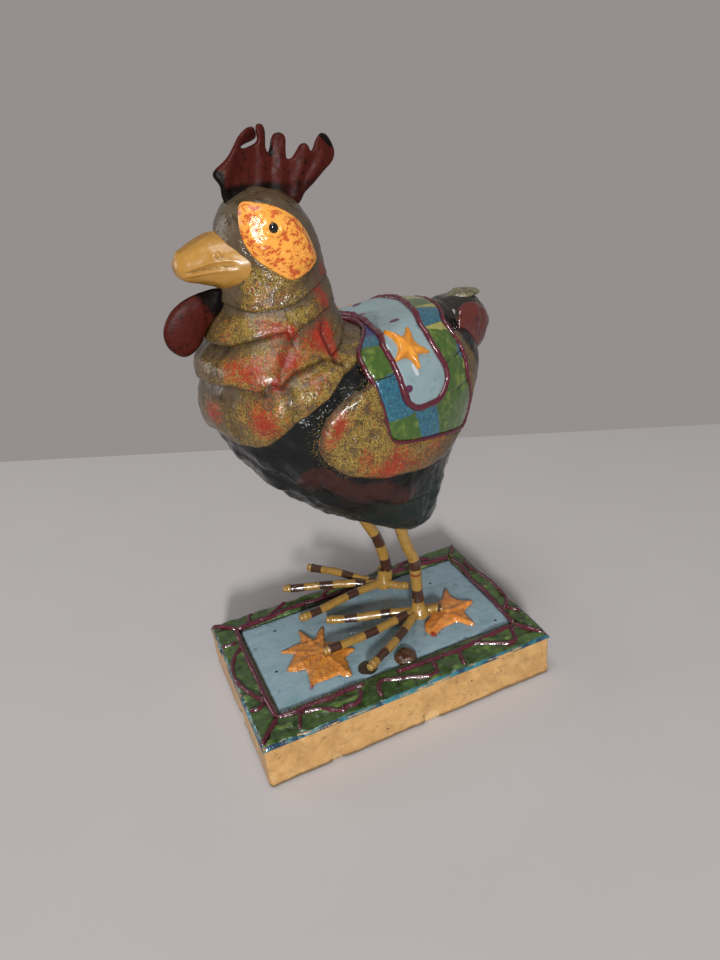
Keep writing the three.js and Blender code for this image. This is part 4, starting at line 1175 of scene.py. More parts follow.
def blanket_paint():
    p = Paint("saddle_paint", roughness=0.2, coat=0.4)
    p.ground("2a431a", "3c581e", p.noise(3.5, 4))
    p.over("67762f", p.step(p.noise(2.4, 5, shift=5), 0.45, 0.8))
    straw = p.ragged("straw", 0.7, p.noise(1.4, 4, shift=12), 0.85, 1.35)
    p.over(p.mix("7f8440", "a8995c", p.noise(1.8, 3)), p.times(straw, 0.8))
    teal = p.mix("1c4156", "2c6476", p.step(p.noise(1.1, 5, 0.7, shift=2), 0.3, 0.7))
    teal = p.mix(teal, "5c7f62", p.speckles(0.3, 0.16, 3))
    p.over(teal, p.ragged("teal", 0.7, p.noise(0.9, 4, 0.7, shift=6), 0.78, 1.02))
    p.over("1e2c5c", p.ragged("navy", 0.5, p.noise(1, 3), 0.7, 1.0))
    p.over("1d2212", p.step(p.mask("divider"), 0.4, 0.8))
    return p.done((0.12, 0.3, 1.8), (1.4, 4, 0.2, 0.5))


def panel_paint():
    p = Paint("panel_paint", roughness=0.2, coat=0.4)
    p.ground("73878a", "839598", p.noise(3, 4))
    p.over("5f7f86", p.step(p.noise(2.6, 4, shift=6), 0.55, 0.8))
    p.over("8b8c9a", p.step(p.noise(2.2, 4, shift=3), 0.6, 0.8))
    p.over("3c4f50", p.ragged("shade", 0.5, p.noise(2, 4, shift=9), 0.6, 1.2))
    # Painted highlight: a pale streak on the panel
    p.over("a9b3b6", p.ragged("run", 0.3, p.noise(1, 3), 0.5, 0.8))
    p.over("4d1f3c", p.step(p.mask("dot"), 0.45, 0.6))
    return p.done((0.14, 0.3, 1.8), (1.2, 4, 0.12, 0.5))


# Dots on the saddle's panel, and a painted highlight: a pale streak, as places down the skin and degrees
PANEL_DOTS = [(7.66, 37), (9.22, 77), (7.14, 36), (6.98, -8), (7.62, -34), (9.2, -77)]
PANEL_HIGHLIGHT = [(8.86, 68), (9.05, 69.5)]


def make_saddle():
    points, faces, _, u, turn, _ = blister(BLANKET, 0.55, blanket_rise)
    masks = saddle_masks(u, turn)
    points = points - skin_normal(u, turn) * (0.35 * masks["divider"])[:, None]
    add_piece("saddle_blanket", points, faces, blanket_paint(), "saddle_green", masks)

    points, faces, depth, u, turn, ground = blister(PANEL, 0.55, panel_rise)
    tall = np.array([1, 1.5, 1])
    dots = [bell(distance_to(ground / tall, spot / tall), 1.25) for spot in skin_line(PANEL_DOTS)]
    distance, _ = nearest(skin(u, np.abs(turn)), skin_line(PANEL_HIGHLIGHT, 0.03))
    shade = 0.6 * bell(u - 7.1, 0.35) * ease(np.degrees(turn), -30, 0) + 0.55 * np.exp(-depth / 0.9)
    # The run mask is a painted highlight along a short line
    masks = {"dot": np.maximum.reduce(dots), "run": bell(distance, 0.8), "shade": shade}
    add_piece("saddle_panel", points, faces, panel_paint(), "saddle_sky", masks)


make_saddle()

CORD_PAINT = mottled_paint("cord_paint", 0.22, 0.4, "420f1c", "5c1728", 1.6, [("280a10", 0.9, 4, 3, 0.5, 0.7)],
                           (0.1, 0.35, 0.8), (0.7, 4, 0.2, 0.7))


def laid_bead(name, outline, rise, half_width, height, seed):
    u, turn = off_plane(plane_line(outline, 0.4))
    line = lifted(u, turn, rise)
    wobble = 1 + 0.18 * lumps(line, 2.5, seed)
    points, faces = sweep(line, skin_normal(u, turn), half_width * wobble, height * wobble, BEAD, closed=True)
    points = points + 0.1 * lumps(points, 1.3, seed + 1)[:, None]
    add_piece(name, points, faces, CORD_PAINT, "cord_burgundy")


laid_bead("saddle_rope", BLANKET, 1.15, 0.6, 0.75, 71)
laid_bead("saddle_cord", PANEL, 1.7, 0.95, 1.0, 73)

# The saddle's star: degrees and reach of its tips, its plane and its size
STAR_TIPS = [(73, 0.96), (11, 0.97), (-60, 1.03), (-143, 1.05), (155, 0.99)]


def star_outline(tips, radius, notch):
    points = []
    for place, (turn, reach) in enumerate(tips):
        following = tips[(place + 1) % len(tips)][0]
        step = (following - turn + 180) % 360 - 180
        for degrees, share in ((turn, reach), (turn + step / 2, notch)):
            angle = math.radians(degrees)
            points.append((math.cos(angle) * share * radius, math.sin(angle) * share * radius))
    return np.array(points)


def orange_paint(name, light, dark, crazed):
    p = Paint(name, roughness=0.22, coat=0.4)
    p.ground(light, dark, p.step(p.noise(2.6, 5), 0.4, 0.7))
    if crazed:
        p.over("5c2a12", p.times(p.cracks(2.2), p.step(p.noise(3, 3, shift=5), 0.4, 0.6)))
    p.over("7a2416", p.ragged("red", 0.5, p.noise(1.2, 4, shift=2), 0.7, 1.0))
    return p.done((0.12, 0.35, 1.4), (1.1, 4, 0.18, 0.6))


def ridge_rise(flat, tips, radius, height, width):
    """Height of ridges that run from the middle of a star out to its tips."""
    rise = np.zeros(len(flat))
    for turn, reach in tips:
        cosine, sine = math.cos(math.radians(turn)), math.sin(math.radians(turn))
        along, aside = flat @ (cosine, sine), flat @ (-sine, cosine)
        share = np.clip(along / (reach * radius), 0, 1)
        rise = np.maximum(rise, height * bell(aside, width) * (along > 0) * (1 - 0.5 * share))
    return rise


STAR_RADIUS, STAR_NOTCH = 6.3, 0.5
STAR_MIDDLE = np.array([14.6, 13.25, 119.0])
STAR_ACROSS = np.array([0.7071, 0, -0.7071])
STAR_UP = np.array([0, 1.0, 0])
STAR_OUT = np.array([0.7071, 0, 0.7071])


def dropped(flat, middle, across, up, outward):
    """Points of the skin under points of a plane, and the skin's normals there."""
    us, turns = np.meshgrid(np.arange(7.0, 9.8, 0.02), np.radians(np.arange(15, 95, 0.4)))
    us, turns = us.ravel(), turns.ravel()
    ground, normal = skin(us, turns), skin_normal(us, turns)
    away = ground - middle
    plane = np.column_stack([away @ across, away @ up])
    _, number = nearest(flat, plane)
    n = normal[number]
    gap = flat - plane[number]
    height = (away @ outward)[number] - (gap[:, 0] * (n @ across) + gap[:, 1] * (n @ up)) / (n @ outward)
    points = middle + np.outer(flat[:, 0], across) + np.outer(flat[:, 1], up) + np.outer(height, outward)
    return points, n


def make_saddle_stars():
    paint = orange_paint("saddle_star_paint", "b8731f", "cf8a30", False)
    outline = rounded(star_outline(STAR_TIPS, STAR_RADIUS, STAR_NOTCH), 0.3, closed=True)
    flat, faces, depth = sheet_faces(outline, 0.4, 0.12)
    rise = dome_edge(depth, 1.0, 0.9) * 0.95 + ridge_rise(flat, STAR_TIPS, STAR_RADIUS, 0.55, 0.8)
    rise += 0.1 * lumps(flat_place(flat), 1.6, 81)
    rise[depth < 0.05] = -1.0
    ground, normal = dropped(flat, STAR_MIDDLE, STAR_ACROSS, STAR_UP, STAR_OUT)
    points = ground + normal * (2.05 + rise)[:, None]
    for name, made, some in both_sides(points, faces, (-0.9, 0, -1.6)):
        add_piece(f"saddle_star_{name}", made, some, paint, "star_orange", {"red": np.zeros(len(made))})


make_saddle_stars()

# Tail: a stub with glossy facets and a cream lump, from rings of y, low z, high z and half width

TAIL = [
    (29, 103.5, 122.0, 10.6), (34, 103.8, 122.4, 10.4), (40, 103.6, 123.2, 9.6), (44.5, 104.4, 123.2, 8.4),
    (48, 107, 121.8, 6.6), (50.2, 110, 119.6, 4.4), (51, 112.4, 117, 1.9), (51.2, 114.2, 115.2, 0.2),
]


def tail_ring(y):
    rows = np.array(TAIL)
    return [np.interp(y, rows[:, 0], rows[:, k]) for k in (1, 2, 3)]


def tail_points(y, angle, grow=0.0):
    low, high, half = tail_ring(y)
    across, up = (np.sign(v) * np.abs(v) ** 0.8 for v in (np.cos(angle), np.sin(angle)))
    x = BIRD_X + (half + grow) * across
    z = (low + high) / 2 + ((high - low) / 2 + grow) * up
    return np.column_stack([x, y + grow * ease(y, 47, 51.2), z])


def make_tail():
    rows, spokes = 60, 120
    ys = 29 + 22.2 * (1 - (1 - np.linspace(0, 1, rows)) ** 1.5)
    points = tail_points(np.repeat(ys, spokes), np.tile(full_turn(spokes), rows))
    coarse = noises(points, (0.45, 5.5, 91), (0.22, 2.2, 92), (0.08, 1, 93)) - 0.45 * bell(points[:, 1] - 36.5, 0.6)
    points = points + away_from(points, (BIRD_X, 40, 113.5), (1, 0.2, 1)) * coarse[:, None]
    paint = mottled_paint("tail_paint", 0.18, 0.4, "11110e", "1e1c17", 3, [("35291a", 1.8, 4, 3, 0.55, 0.75)],
                          (0.12, 0.32, 1.8), (1.2, 4, 0.25, 0.6))
    faces = [*grid_faces(rows, spokes), tuple(reversed(last_cap(rows, spokes)))]
    add_piece("tail", points, faces, paint, "body_bottle")


make_tail()

TAIL_PATCH = [
    (36.5, 116.5), (38.0, 120.4), (41.5, 121.9), (46.0, 121.0), (49.2, 118.2), (50.4, 115.0), (49.2, 111.6),
    (46.6, 107.6), (44.0, 107.4), (42.2, 110.8), (39.6, 113.2), (37.2, 114.0),
]


def make_tail_patches():
    patches = [("1c0c0a", 2.2, 4, 3, 0.5, 0.72), ("7a3a24", 2.8, 3, 5, 0.62, 0.8)]
    paint = mottled_paint("tail_patch_paint", 0.12, 0.6, "3f1512", "5a201a", 2.4, patches,
                          (0.08, 0.25, 1.4), (1.4, 4, 0.2, 0.6))
    outline = rounded(TAIL_PATCH, 0.5, closed=True)
    flat, faces, depth = sheet_faces(outline, 0.55, 0.2)
    y = flat[:, 0]
    low, high, _ = tail_ring(y)
    share = np.clip((flat[:, 1] - (low + high) / 2) / ((high - low) / 2), -0.97, 0.97)
    angle = np.arcsin(np.sign(share) * np.abs(share) ** 1.25)
    rise = np.where(depth < 0.1, -0.5, dome_edge(depth, 0.85, 1.6) + 0.3 * lumps(flat_place(flat), 2.4, 95))
    ground = tail_points(y, angle)
    points = ground + (tail_points(y, angle, 1.0) - ground) * rise[:, None]
    for name, made, some in both_sides(points, faces):
        add_piece(f"tail_patch_{name}", made, some, paint, "tail_red")


make_tail_patches()


def make_crest():
    rows, around = 40, 56
    s, angle = np.linspace(0, 1, rows), full_turn(around)
    size = np.sqrt(np.maximum(1 - (2 * s - 1) ** 2, 0.0004))[:, None]
    x = BIRD_X + 4.0 * size * np.cos(angle)
    z = 122.9 + 1.5 * size * np.sin(angle)
    points = np.column_stack([x.ravel(), (39.2 + 11 * s).repeat(around), z.ravel()])
    shift = noises(points, (0.35, 2.6, 96), (0.15, 1.1, 97))
    points = points + away_from(points, (BIRD_X, 44.7, 122.9)) * shift[:, None]
    p = Paint("crest_paint", roughness=0.3, coat=0.3)
    p.ground("6b6448", "4a4830", p.step(p.noise(2, 4), 0.4, 0.65))
    p.over("2c2c1c", p.step(p.noise(1.4, 5, shift=3), 0.5, 0.7))
    p.over("a09a78", p.step(p.noise(1.0, 4, shift=6), 0.62, 0.75))
    paint = p.done((0.18, 0.36, 1.4), (1.0, 4, 0.2, 0.6))
    add_piece("tail_crest", points, grid_faces(rows, around), paint, "crest_cream")


make_crest()

# Legs and feet

def wire_paint():
    p = Paint("wire_paint", roughness=0.22, coat=0.4)
    p.ground("80602a", "9a7636", p.noise(2.4, 4))
    p.over("5e431b", p.step(p.noise(1.5, 4, shift=2), 0.56, 0.75))
    band = p.ragged("band", 0.5, p.noise(0.9, 4, 0.6, shift=4), 0.55, 0.95)
    p.over(p.mix("2c1b12", "46291c", p.noise(1.3, 3)), band)
    p.over("6b2a1c", p.ragged("rust", 0.4, p.noise(1, 4), 0.6, 0.9))
    return p.done((0.14, 0.34, 1.2), (0.9, 4, 0.18, 0.6))


WIRE = wire_paint()

# Half the blur at a painted band's ends
BAND_SOFT = 0.35


def band_mask(at, bands):
    mask = np.zeros(len(at))
    for low, high in bands:
        start = ease(at, low - BAND_SOFT, low + BAND_SOFT)
        mask = np.maximum(mask, start * (1 - ease(at, high - BAND_SOFT, high + BAND_SOFT)))
    return mask


def wire(name, line, radius, bands, seed, ring=False):
    """A painted wire along a line, its bands given by their distance from the start."""
    line = rounded(line, 0.45)
    along = np.concatenate([[0], np.cumsum(steps_along(line))])
    left = along[-1] - along
    width = radius * (1 + 0.05 * lumps(line, 5, seed))
    if ring:
        width = width + 0.2 * bell(left - 2.2, 0.5) - 0.28 * bell(left - 1.2, 0.45)
        width = width * np.sqrt(np.clip(1 - ((0.7 - left) / 0.8).clip(0) ** 2, 0.02, 1))
    up = (0.05, 0.1, 1.0) if ring else (1.0, 0.02, 0.05)
    points, faces = sweep(line, up, width, width, CIRCLE)
    shift = noises(points, (0.1, 2.2, seed + 1), (0.05, 0.9, seed + 2))
    points = points + (points - line.repeat(len(CIRCLE), axis=0)) / radius * shift[:, None]
    rust = 0.7 * bell(along - 17.9, 0.9) if name == "left_leg" else 0 * along
    masks = {"band": band_mask(along, bands).repeat(len(CIRCLE)), "rust": rust.repeat(len(CIRCLE))}
    add_piece(name, points, faces, WIRE, "wire_ochre", masks)


RIGHT_LEG = [
    (13.3, 17.5), (14.9, 20), (15.6, 22), (15.1, 28.3), (14.3, 33.1), (12.9, 38.8), (9.9, 45.8), (5.4, 55.9),
    (4, 61.9), (3.6, 66),
]
LEFT_LEG = [
    (17, 17.5), (17, 24.2), (16.9, 27.8), (16.8, 33.3), (16.7, 38.7), (16.1, 42.3), (14.5, 47), (12.7, 54),
    (11.2, 61.9), (10.8, 66),
]
LEG_RADIUS, TOE_RADIUS = 2.0, 1.5
wire("right_leg", [(-20, y, z) for y, z in RIGHT_LEG], LEG_RADIUS, [(7.2, 12.9), (18.9, 24.7)], 101)
wire("left_leg", [(1.9, y, z) for y, z in LEFT_LEG], LEG_RADIUS, [(6.4, 11.6), (19.9, 23.8)], 104)


def make_ankle(name, x, y, low, high, seed):
    rows, around = 26, 64
    wide, narrow = 3.6, LEG_RADIUS
    s, angle = np.linspace(0, 1, rows), full_turn(around)
    radius = narrow + (wide - narrow) * (1 - ease(s, 0, 0.85)) ** 1.4
    radius[0] = wide * 0.6
    px = x + radius[:, None] * np.cos(angle)
    py = y + radius[:, None] * np.sin(angle)
    points = np.column_stack([px.ravel(), py.ravel(), (low + (high - low) * s).repeat(around)])
    shift = noises(points, (0.3, 2.8, seed), (0.12, 1.2, seed + 1))
    points = points + away_from(points, (x, y, 0), (1, 1, 0)) * shift[:, None]
    faces = [*turned(grid_faces(rows, around)), first_cap(around), last_cap(rows, around)]
    band = ease(points[:, 2], high - 1.2, high) * 0.5
    add_piece(name, points, faces, WIRE, "wire_ochre", {"band": band, "rust": 0 * band})


make_ankle("left_ankle", 1.7, 17.0, 17.6, 25.4, 107)
make_ankle("right_ankle", -20.1, 13.9, 17.6, 25.0, 109)

# Toes: start, end, heights, and dark bands as shares of the way back from the tip
TOES = [
    ("left_toe_inner", (1.6, 16.5), (-10.8, -13), 18.9, 18.9, [(0.2, 0.34), (0.6, 0.71)]),
    ("left_toe_middle", (1.8, 16), (4.4, -19.9), 18.9, 18.9, [(0.05, 0.17), (0.42, 0.56), (0.78, 0.9)]),
    ("left_toe_outer", (2.2, 16.5), (19.4, -10), 18.9, 18.9, [(0.14, 0.3), (0.5, 0.68)]),
    ("left_toe_rear", (2, 18), (4.2, 25.2), 18.9, 18.9, [(0.1, 0.22)]),
    ("right_toe_outer", (-20.8, 12.8), (-42.8, -8.1), 18.9, 20.2, [(0.07, 0.21), (0.5, 0.65), (0.86, 0.95)]),
    ("right_toe_middle", (-20.8, 12.5), (-34.5, -20.8), 18.9, 20.2, [(0.08, 0.22), (0.38, 0.52), (0.75, 0.86)]),
    ("right_toe_inner", (-20.2, 12), (-16.3, -21), 18.9, 18.9, [(0.12, 0.245), (0.59, 0.725)]),
    ("right_toe_rear", (-19.5, 14), (-12.4, 20.7), 18.9, 18.9, []),
]


def make_toes():
    for number, (name, start, end, low, high, shares) in enumerate(TOES):
        start, end = np.array(start), np.array(end)
        length = np.linalg.norm(end - start)
        aside = np.array([end[1] - start[1], start[0] - end[0]]) / length
        line = []
        for s in np.linspace(0, 1, 9):
            place = start + (end - start) * s + aside * 0.35 * math.sin(5 * s + number)
            line.append((*place, low + (high - low) * s + 0.25 * math.sin(7 * s + number)))
        bands = [(length * (1 - far), length * (1 - near)) for near, far in shares]
        wire(name, line, TOE_RADIUS, bands, 120 + 4 * number, ring=True)


make_toes()

# Base

BLOCK_TOP, PANEL_TOP = 15.3, 15.75
HALF_X, HALF_Y = 32.0, 50.0


def corner_round(points, radius, step):
    """The outline with each corner replaced by an arc of a radius."""
    made = []
    count = len(points)
    for k in range(count):
        here, before, after = (np.array(points[(k + d) % count], float) for d in (0, -1, 1))
        a = (before - here) / np.linalg.norm(before - here)
        b = (after - here) / np.linalg.norm(after - here)
        for s in np.linspace(0, 1, 7):
            made.append(here + a * radius * (1 - s) ** 2 + b * radius * s ** 2)
    return resample(made, step, closed=True)


# Chips out of the block: place, reach and depth
CHIPS = [
    (32, -38, 15.8, 2.6, 0.7), (32, -12, 15.9, 1.8, 0.5), (32, 20, 15.7, 2.4, 0.6), (32, 41, 15.8, 2, 0.6),
    (10, -50, 15.8, 2.2, 0.6), (-18, -50, 15.7, 2.6, 0.7), (32, -49, 5, 2.6, 0.5), (32, 5, 1.5, 4, 0.6),
    (32, 30, 7, 2.2, 0.4), (0, -50, 2, 3.4, 0.6), (-25, -50, 8, 2.2, 0.4), (32, -28, 1, 3, 0.5),
    (-32, 10, 15.7, 3, 0.6), (-32, -30, 9, 2.6, 0.5), (5, 50, 15.8, 3, 0.6), (-15, 50, 4, 3, 0.5),
]


def chipped(points, share):
    """Depth of the chips at points, from a share of their reach."""
    depth = np.zeros(len(points))
    for x, y, z, reach, deep in CHIPS:
        depth = np.maximum(depth, deep * (1 - ease(distance_to(points, (x, y, z)), reach * share, reach)))
    return depth


def block_paint():
    p = Paint("base_paint", roughness=0.4, coat=0.15)
    p.ground("b88f58", "a57c48", p.step(p.noise(6, 5), 0.35, 0.7))
    p.over("87673c", p.times(p.step(p.noise(2.6, 5, shift=3), 0.5, 0.75), 0.6))
    p.over("c9a671", p.times(p.step(p.noise(1.3, 5, 0.7, shift=6), 0.55, 0.72), 0.6))
    specks = p.times(p.step(p.noise(4, 4, shift=9), 0.5, 0.8), 0.7)
    p.over("6f5230", p.speckles(0.5, specks, 3))
    p.over("6b5334", p.ragged("low", 0.6, p.noise(3, 4, shift=1), 0.7, 1.1))
    p.over("bf9c68", p.ragged("chip", 0.4, p.noise(1.2, 4), 0.55, 0.8))
    edge = p.ragged("teal", 0.6, p.noise(2.2, 4, shift=5), 0.85, 1.15)
    p.over(p.mix("1c3440", "2a5a62", p.noise(2, 3)), edge)
    return p.done((0.3, 0.55, 2.5), (1.6, 5, 0.3, 0.6), (0.5, 2, 0.08, 0.6))


def make_block():
    corners = [(-HALF_X, -HALF_Y), (HALF_X, -HALF_Y), (HALF_X, HALF_Y), (-HALF_X, HALF_Y)]
    outline = corner_round(corners, 1.6, 0.62)
    along = np.roll(outline, -1, axis=0) - np.roll(outline, 1, axis=0)
    outward = unit(np.column_stack([along[:, 1], -along[:, 0]]))
    wall = np.arange(0.9, 15.6, 0.6)
    zs = [0.0, 0.05, 0.35, *wall, 15.9, 16.05, BLOCK_TOP - 0.6]
    push = [-1.4, -0.75, -0.25, *(0 * wall), -0.15, -0.7, -2.5]
    count = len(outline)
    points = np.vstack([np.column_stack([outline + outward * out, np.full(count, z)]) for z, out in zip(zs, push)])
    away = np.tile(np.column_stack([outward, np.zeros(count)]), (len(zs), 1))
    chip = chipped(points, 0.5)
    shift = noises(points, (0.22, 9, 131), (0.14, 3, 132), (0.07, 1.2, 133)) - 0.15 - chip
    points = points + away * (shift * (points[:, 2] > 0.02))[:, None]
    faces = turned([*grid_faces(len(zs), count), first_cap(count), last_cap(len(zs), count)])
    z = points[:, 2]
    masks = {"low": 1 - ease(z, 0.2, 3.4), "chip": chip, "teal": ease(z, 15.3, 16.0) * 0.75}
    add_piece("base_block", points, faces, block_paint(), "base_tan", masks)


make_block()


def relief(outline, cell, ground, rise, skirt=SKIRT):
    """A raised patch on the base's flat top: points, faces and depth from the edge."""
    flat, faces, depth = sheet_faces(outline, cell)
    z = np.where(depth < cell * 0.15, ground + skirt, ground + rise(flat, depth))
    return np.column_stack([flat, z]), faces, depth


BORDERS = {
    "left": [(32, -50), (32, 50), (19.95, 44.15), (19.95, -41.45)],
    "right": [(-32, 50), (-32, -50), (-24.65, -41.45), (-24.65, 44.15)],
    "front": [(-31.85, -50), (31.85, -50), (19.8, -41.45), (-24.5, -41.45)],
    "rear": [(31.85, 50), (-31.85, 50), (-24.5, 44.15), (19.8, 44.15)],
}


def border_paint():
    p = Paint("border_paint", roughness=0.22, coat=0.35)
    p.ground("2f4220", "40582a", p.step(p.noise(6, 3), 0.35, 0.65))
    p.over("1c2812", p.step(p.noise(3.2, 5, shift=6), 0.48, 0.75))
    # Painted highlight: the raised leaves are lighter green and their highest tops paler still, as if lit from above
    raised = p.plus(p.mask("raised"), p.times(p.noise(1.6, 5, 0.65, shift=3), 0.6))
    p.over(p.mix("4c622c", "5d7a3a", p.noise(3, 3)), p.step(raised, 0.85, 1.25))
    p.over("7c7d42", p.step(p.plus(raised, p.noise(0.9, 3, shift=7)), 1.65, 1.95))
    edge = p.ragged("edge", 0.4, p.noise(1.8, 4, shift=4), 0.62, 0.85)
    teal = p.mix("1c3448", "2f6a74", p.step(p.noise(5, 3, shift=1), 0.4, 0.6))
    # Painted shade: on the right border the teal edge turns dark grey-brown
    p.over(p.mix(teal, "2c2822", p.mask("edge_shade")), edge)
    return p.done((0.12, 0.34, 1.6), (1.2, 4, 0.35, 0.6))


def leaf_relief(flat):
    """Embossed leaves between the vines: soft lumps drawn out across the border."""
    place = flat_place(flat)
    leaves = 0.42 * lumps(place * (1, 0.8, 1), 3.4, 141) + noises(place, (0.22, 1.7, 142), (0.08, 0.9, 143))
    return np.clip(leaves, -0.4, 0.5)


def from_rim(flat):
    return np.minimum(HALF_X - np.abs(flat[:, 0]), HALF_Y - np.abs(flat[:, 1]))


def border_rise(flat, depth):
    height = dome_edge(depth, 0.35, 0.7) + 0.9 + leaf_relief(flat) - 0.28 * np.maximum(1.6 - from_rim(flat), 0) ** 2
    for x, y, z, reach, deep in CHIPS:
        if z > BLOCK_TOP - 0.3:
            height -= deep * (1 - ease(distance_to(flat, (x, y)), reach * 0.4, reach))
    return height


def make_borders():
    paint = border_paint()
    for name, outline in BORDERS.items():
        points, faces, _ = relief(resample(outline, 0.6, closed=True), 0.6, BLOCK_TOP, border_rise, skirt=0.05)
        masks = {
            "edge": 1 - ease(from_rim(points), 0.35, 1.5),
            # Painted shade on the right border's edge
            "edge_shade": np.full(len(points), float(name == "right")),
            # Height of the leaves, used for the painted highlight on their tops
            "raised": 0.5 + leaf_relief(points[:, :2]),
        }
        add_piece(f"border_{name}", points, faces, paint, "border_green", masks)


make_borders()

# Vines on the border: their lines and half widths
VINE_HEIGHT = 16.4
VINES = {
    "front": [
        ([(-24.7, -42.1), (-13.2, -42.8), (1.6, -42.7), (13.1, -42.8), (21.8, -42.3)], 0.75),
        ([(-31, -49.4), (-28.7, -45.5), (-25, -42)], 0.7),
        ([(-18.3, -49.1), (-17.7, -46.1), (-18.4, -43.6)], 0.6),
        ([(-14.8, -43), (-14, -44.1), (-11, -46.5), (-6.4, -48.4), (-0.7, -49.1), (3.8, -48.1), (7.8, -46.7),
          (11.6, -44.5), (13.1, -42.8)], 0.65),
        ([(11.8, -44.1), (14.7, -44.4), (15.8, -46.2), (15.2, -48.8)], 0.6),
        ([(22, -42.3), (25.9, -46.1), (29.8, -49.6)], 0.7),
    ],
    "left": [
        ([(21.8, -42.3), (22.5, -36.8), (22, -32.5), (22.4, -24.2), (21.8, -19.8), (22.3, -13)], 0.75),
        ([(22.3, -2), (22.6, 3.4), (22.9, 10.7), (23.4, 21.4), (22.1, 33.5), (22, 42.2)], 0.75),
        ([(22.3, -35.1), (25.3, -36), (29.5, -37.7)], 0.6),
        ([(23.6, -34.8), (25.1, -29.5), (29.2, -23.1), (28.2, -22.6), (28.3, -18.7), (26.2, -16.3),
          (23, -15.6)], 0.65),
        ([(29.3, -10.7), (26, -10.2), (23.6, -8), (24.9, -4.5), (27, 1.1), (29.3, 7.2), (28.3, 9.3),
          (24.9, 10.1), (23.2, 10.6)], 0.65),
        ([(30.2, 18.3), (26.2, 19.2), (23.8, 20.6), (23, 24.9), (26.1, 30.9), (28.9, 36.4), (27.9, 39.1),
          (24.3, 40.1), (22.7, 41.8)], 0.65),
        ([(21.4, 42.6), (25.7, 45.5), (29.7, 48.5)], 0.7),
    ],
    "rear": [
        ([(-23.5, 44.5), (-16.4, 44.9), (-7.2, 43.9), (2.5, 44.3), (10.2, 43.6), (17.1, 43.2), (21.3, 42.9)], 0.7),
        ([(-31.2, 49.2), (-27.5, 47), (-24.4, 45)], 0.65),
        ([(-19.5, 47.6), (-13.3, 47.4), (-8, 48.6), (-2.8, 49), (2.4, 49.1), (8, 48.5), (11.8, 46),
          (12.7, 44.3)], 0.6),
        ([(12.3, 45.8), (14.6, 46.8), (15.9, 49)], 0.6),
    ],
    "right": [
        ([(-25, -42), (-25.5, -34.5), (-25.8, -26.7), (-26.4, -16.6), (-25.6, -10), (-25.9, 5), (-26.3, 23.7),
          (-25.8, 32.2), (-24.6, 44)], 0.7),
        ([(-25.4, -30.9), (-28.4, -25.8), (-31, -21.5)], 0.6),
        ([(-31, -34.7), (-28.5, -36.6), (-26, -37)], 0.6),
        ([(-25.6, -10), (-28.8, -5.5), (-29.5, 2), (-27, 8)], 0.6),
        ([(-26.3, 20), (-29.6, 26), (-29, 33), (-26, 37)], 0.6),
    ],
}


def vine(line, half_width, seed):
    line = rounded([(x, y, VINE_HEIGHT) for x, y in line], 0.4)
    number = np.arange(len(line))
    taper = np.sqrt(np.clip(np.minimum(number, number[::-1]) / 2.5, 0.12, 1))
    wobble = (1 + 0.2 * lumps(line, 2.2, seed)) * taper
    aside = [0.12 * lumps(line, 2, seed + 1), 0.12 * lumps(line, 2, seed + 2), 0 * number]
    return sweep(line + np.column_stack(aside), (0, 0, 1), 1.2 * half_width * wobble, 0.95 * wobble, BEAD)


def make_vines():
    patches = [("280e14", 1.4, 4, 3, 0.52, 0.72), ("6a3a2c", 0.9, 4, 5, 0.66, 0.78)]
    paint = mottled_paint("vine_paint", 0.18, 0.5, "42121e", "56182a", 2.2, patches,
                          (0.1, 0.3, 1.0), (0.9, 4, 0.2, 0.7))
    for number, (name, lines) in enumerate(VINES.items()):
        seed = 150 + 8 * number
        points, faces = joined([vine(line, half, seed + k) for k, (line, half) in enumerate(lines)])
        points = points + 0.07 * lumps(points, 1, 190)[:, None]
        add_piece(f"vine_{name}", points, faces, paint, "vine_burgundy")


make_vines()

# Outlines and tips of the stars on the panel
FRONT_STAR = [
    (-6, -32.3), (-6.9, -27.5), (-7.4, -24.5), (-9.9, -23.6), (-14.5, -22.4), (-9.2, -21), (-6.8, -19.6), (-9.3, -17.2),
    (-11.3, -14), (-6, -15.6), (-3, -16.2), (-1.6, -12), (-0.4, -8), (2.2, -12.4), (5.1, -8.8), (6.3, -11.7),
    (7.7, -13.4), (10.8, -13.7), (16.3, -15), (14.2, -18.7), (13.9, -18.2), (14, -22.6), (13.8, -26.5), (15.6, -28.9),
    (8, -27.4), (5.9, -27.5), (5.3, -30.8), (3.5, -32.9), (-0.5, -30.1), (-3, -28.4),
]
FRONT_TIPS = [
    (-6, -32.6), (-14.5, -22.4), (-11.3, -14), (-0.4, -8), (5.1, -8.2), (16.3, -15), (15.6, -28.9), (3.5, -33),
]
REAR_STAR = [
    (9.2, 15.5), (13.3, 16.8), (11, 20.5), (10.4, 24.2), (10.4, 27.4), (14.2, 30.2), (14.5, 31.8), (6.7, 32.7),
    (3.4, 38), (-0.6, 33.4), (-8, 33), (-3, 27.5), (-4, 21), (2.5, 20.5), (5.6, 16.8),
]
REAR_TIPS = [(11.5, 15.6), (14.5, 31), (3.4, 38.2), (-8.2, 33.2), (-4, 20.8)]

# On the panel: black specks, and the middle of a painted shadow under the outer left toe's tip
SPECKS = [(7.5, 6.5), (-7, 2), (-14, 30), (-18, -30), (16, 39), (2, -36)]
TOE_SHADOW = (15.2, -9.2)


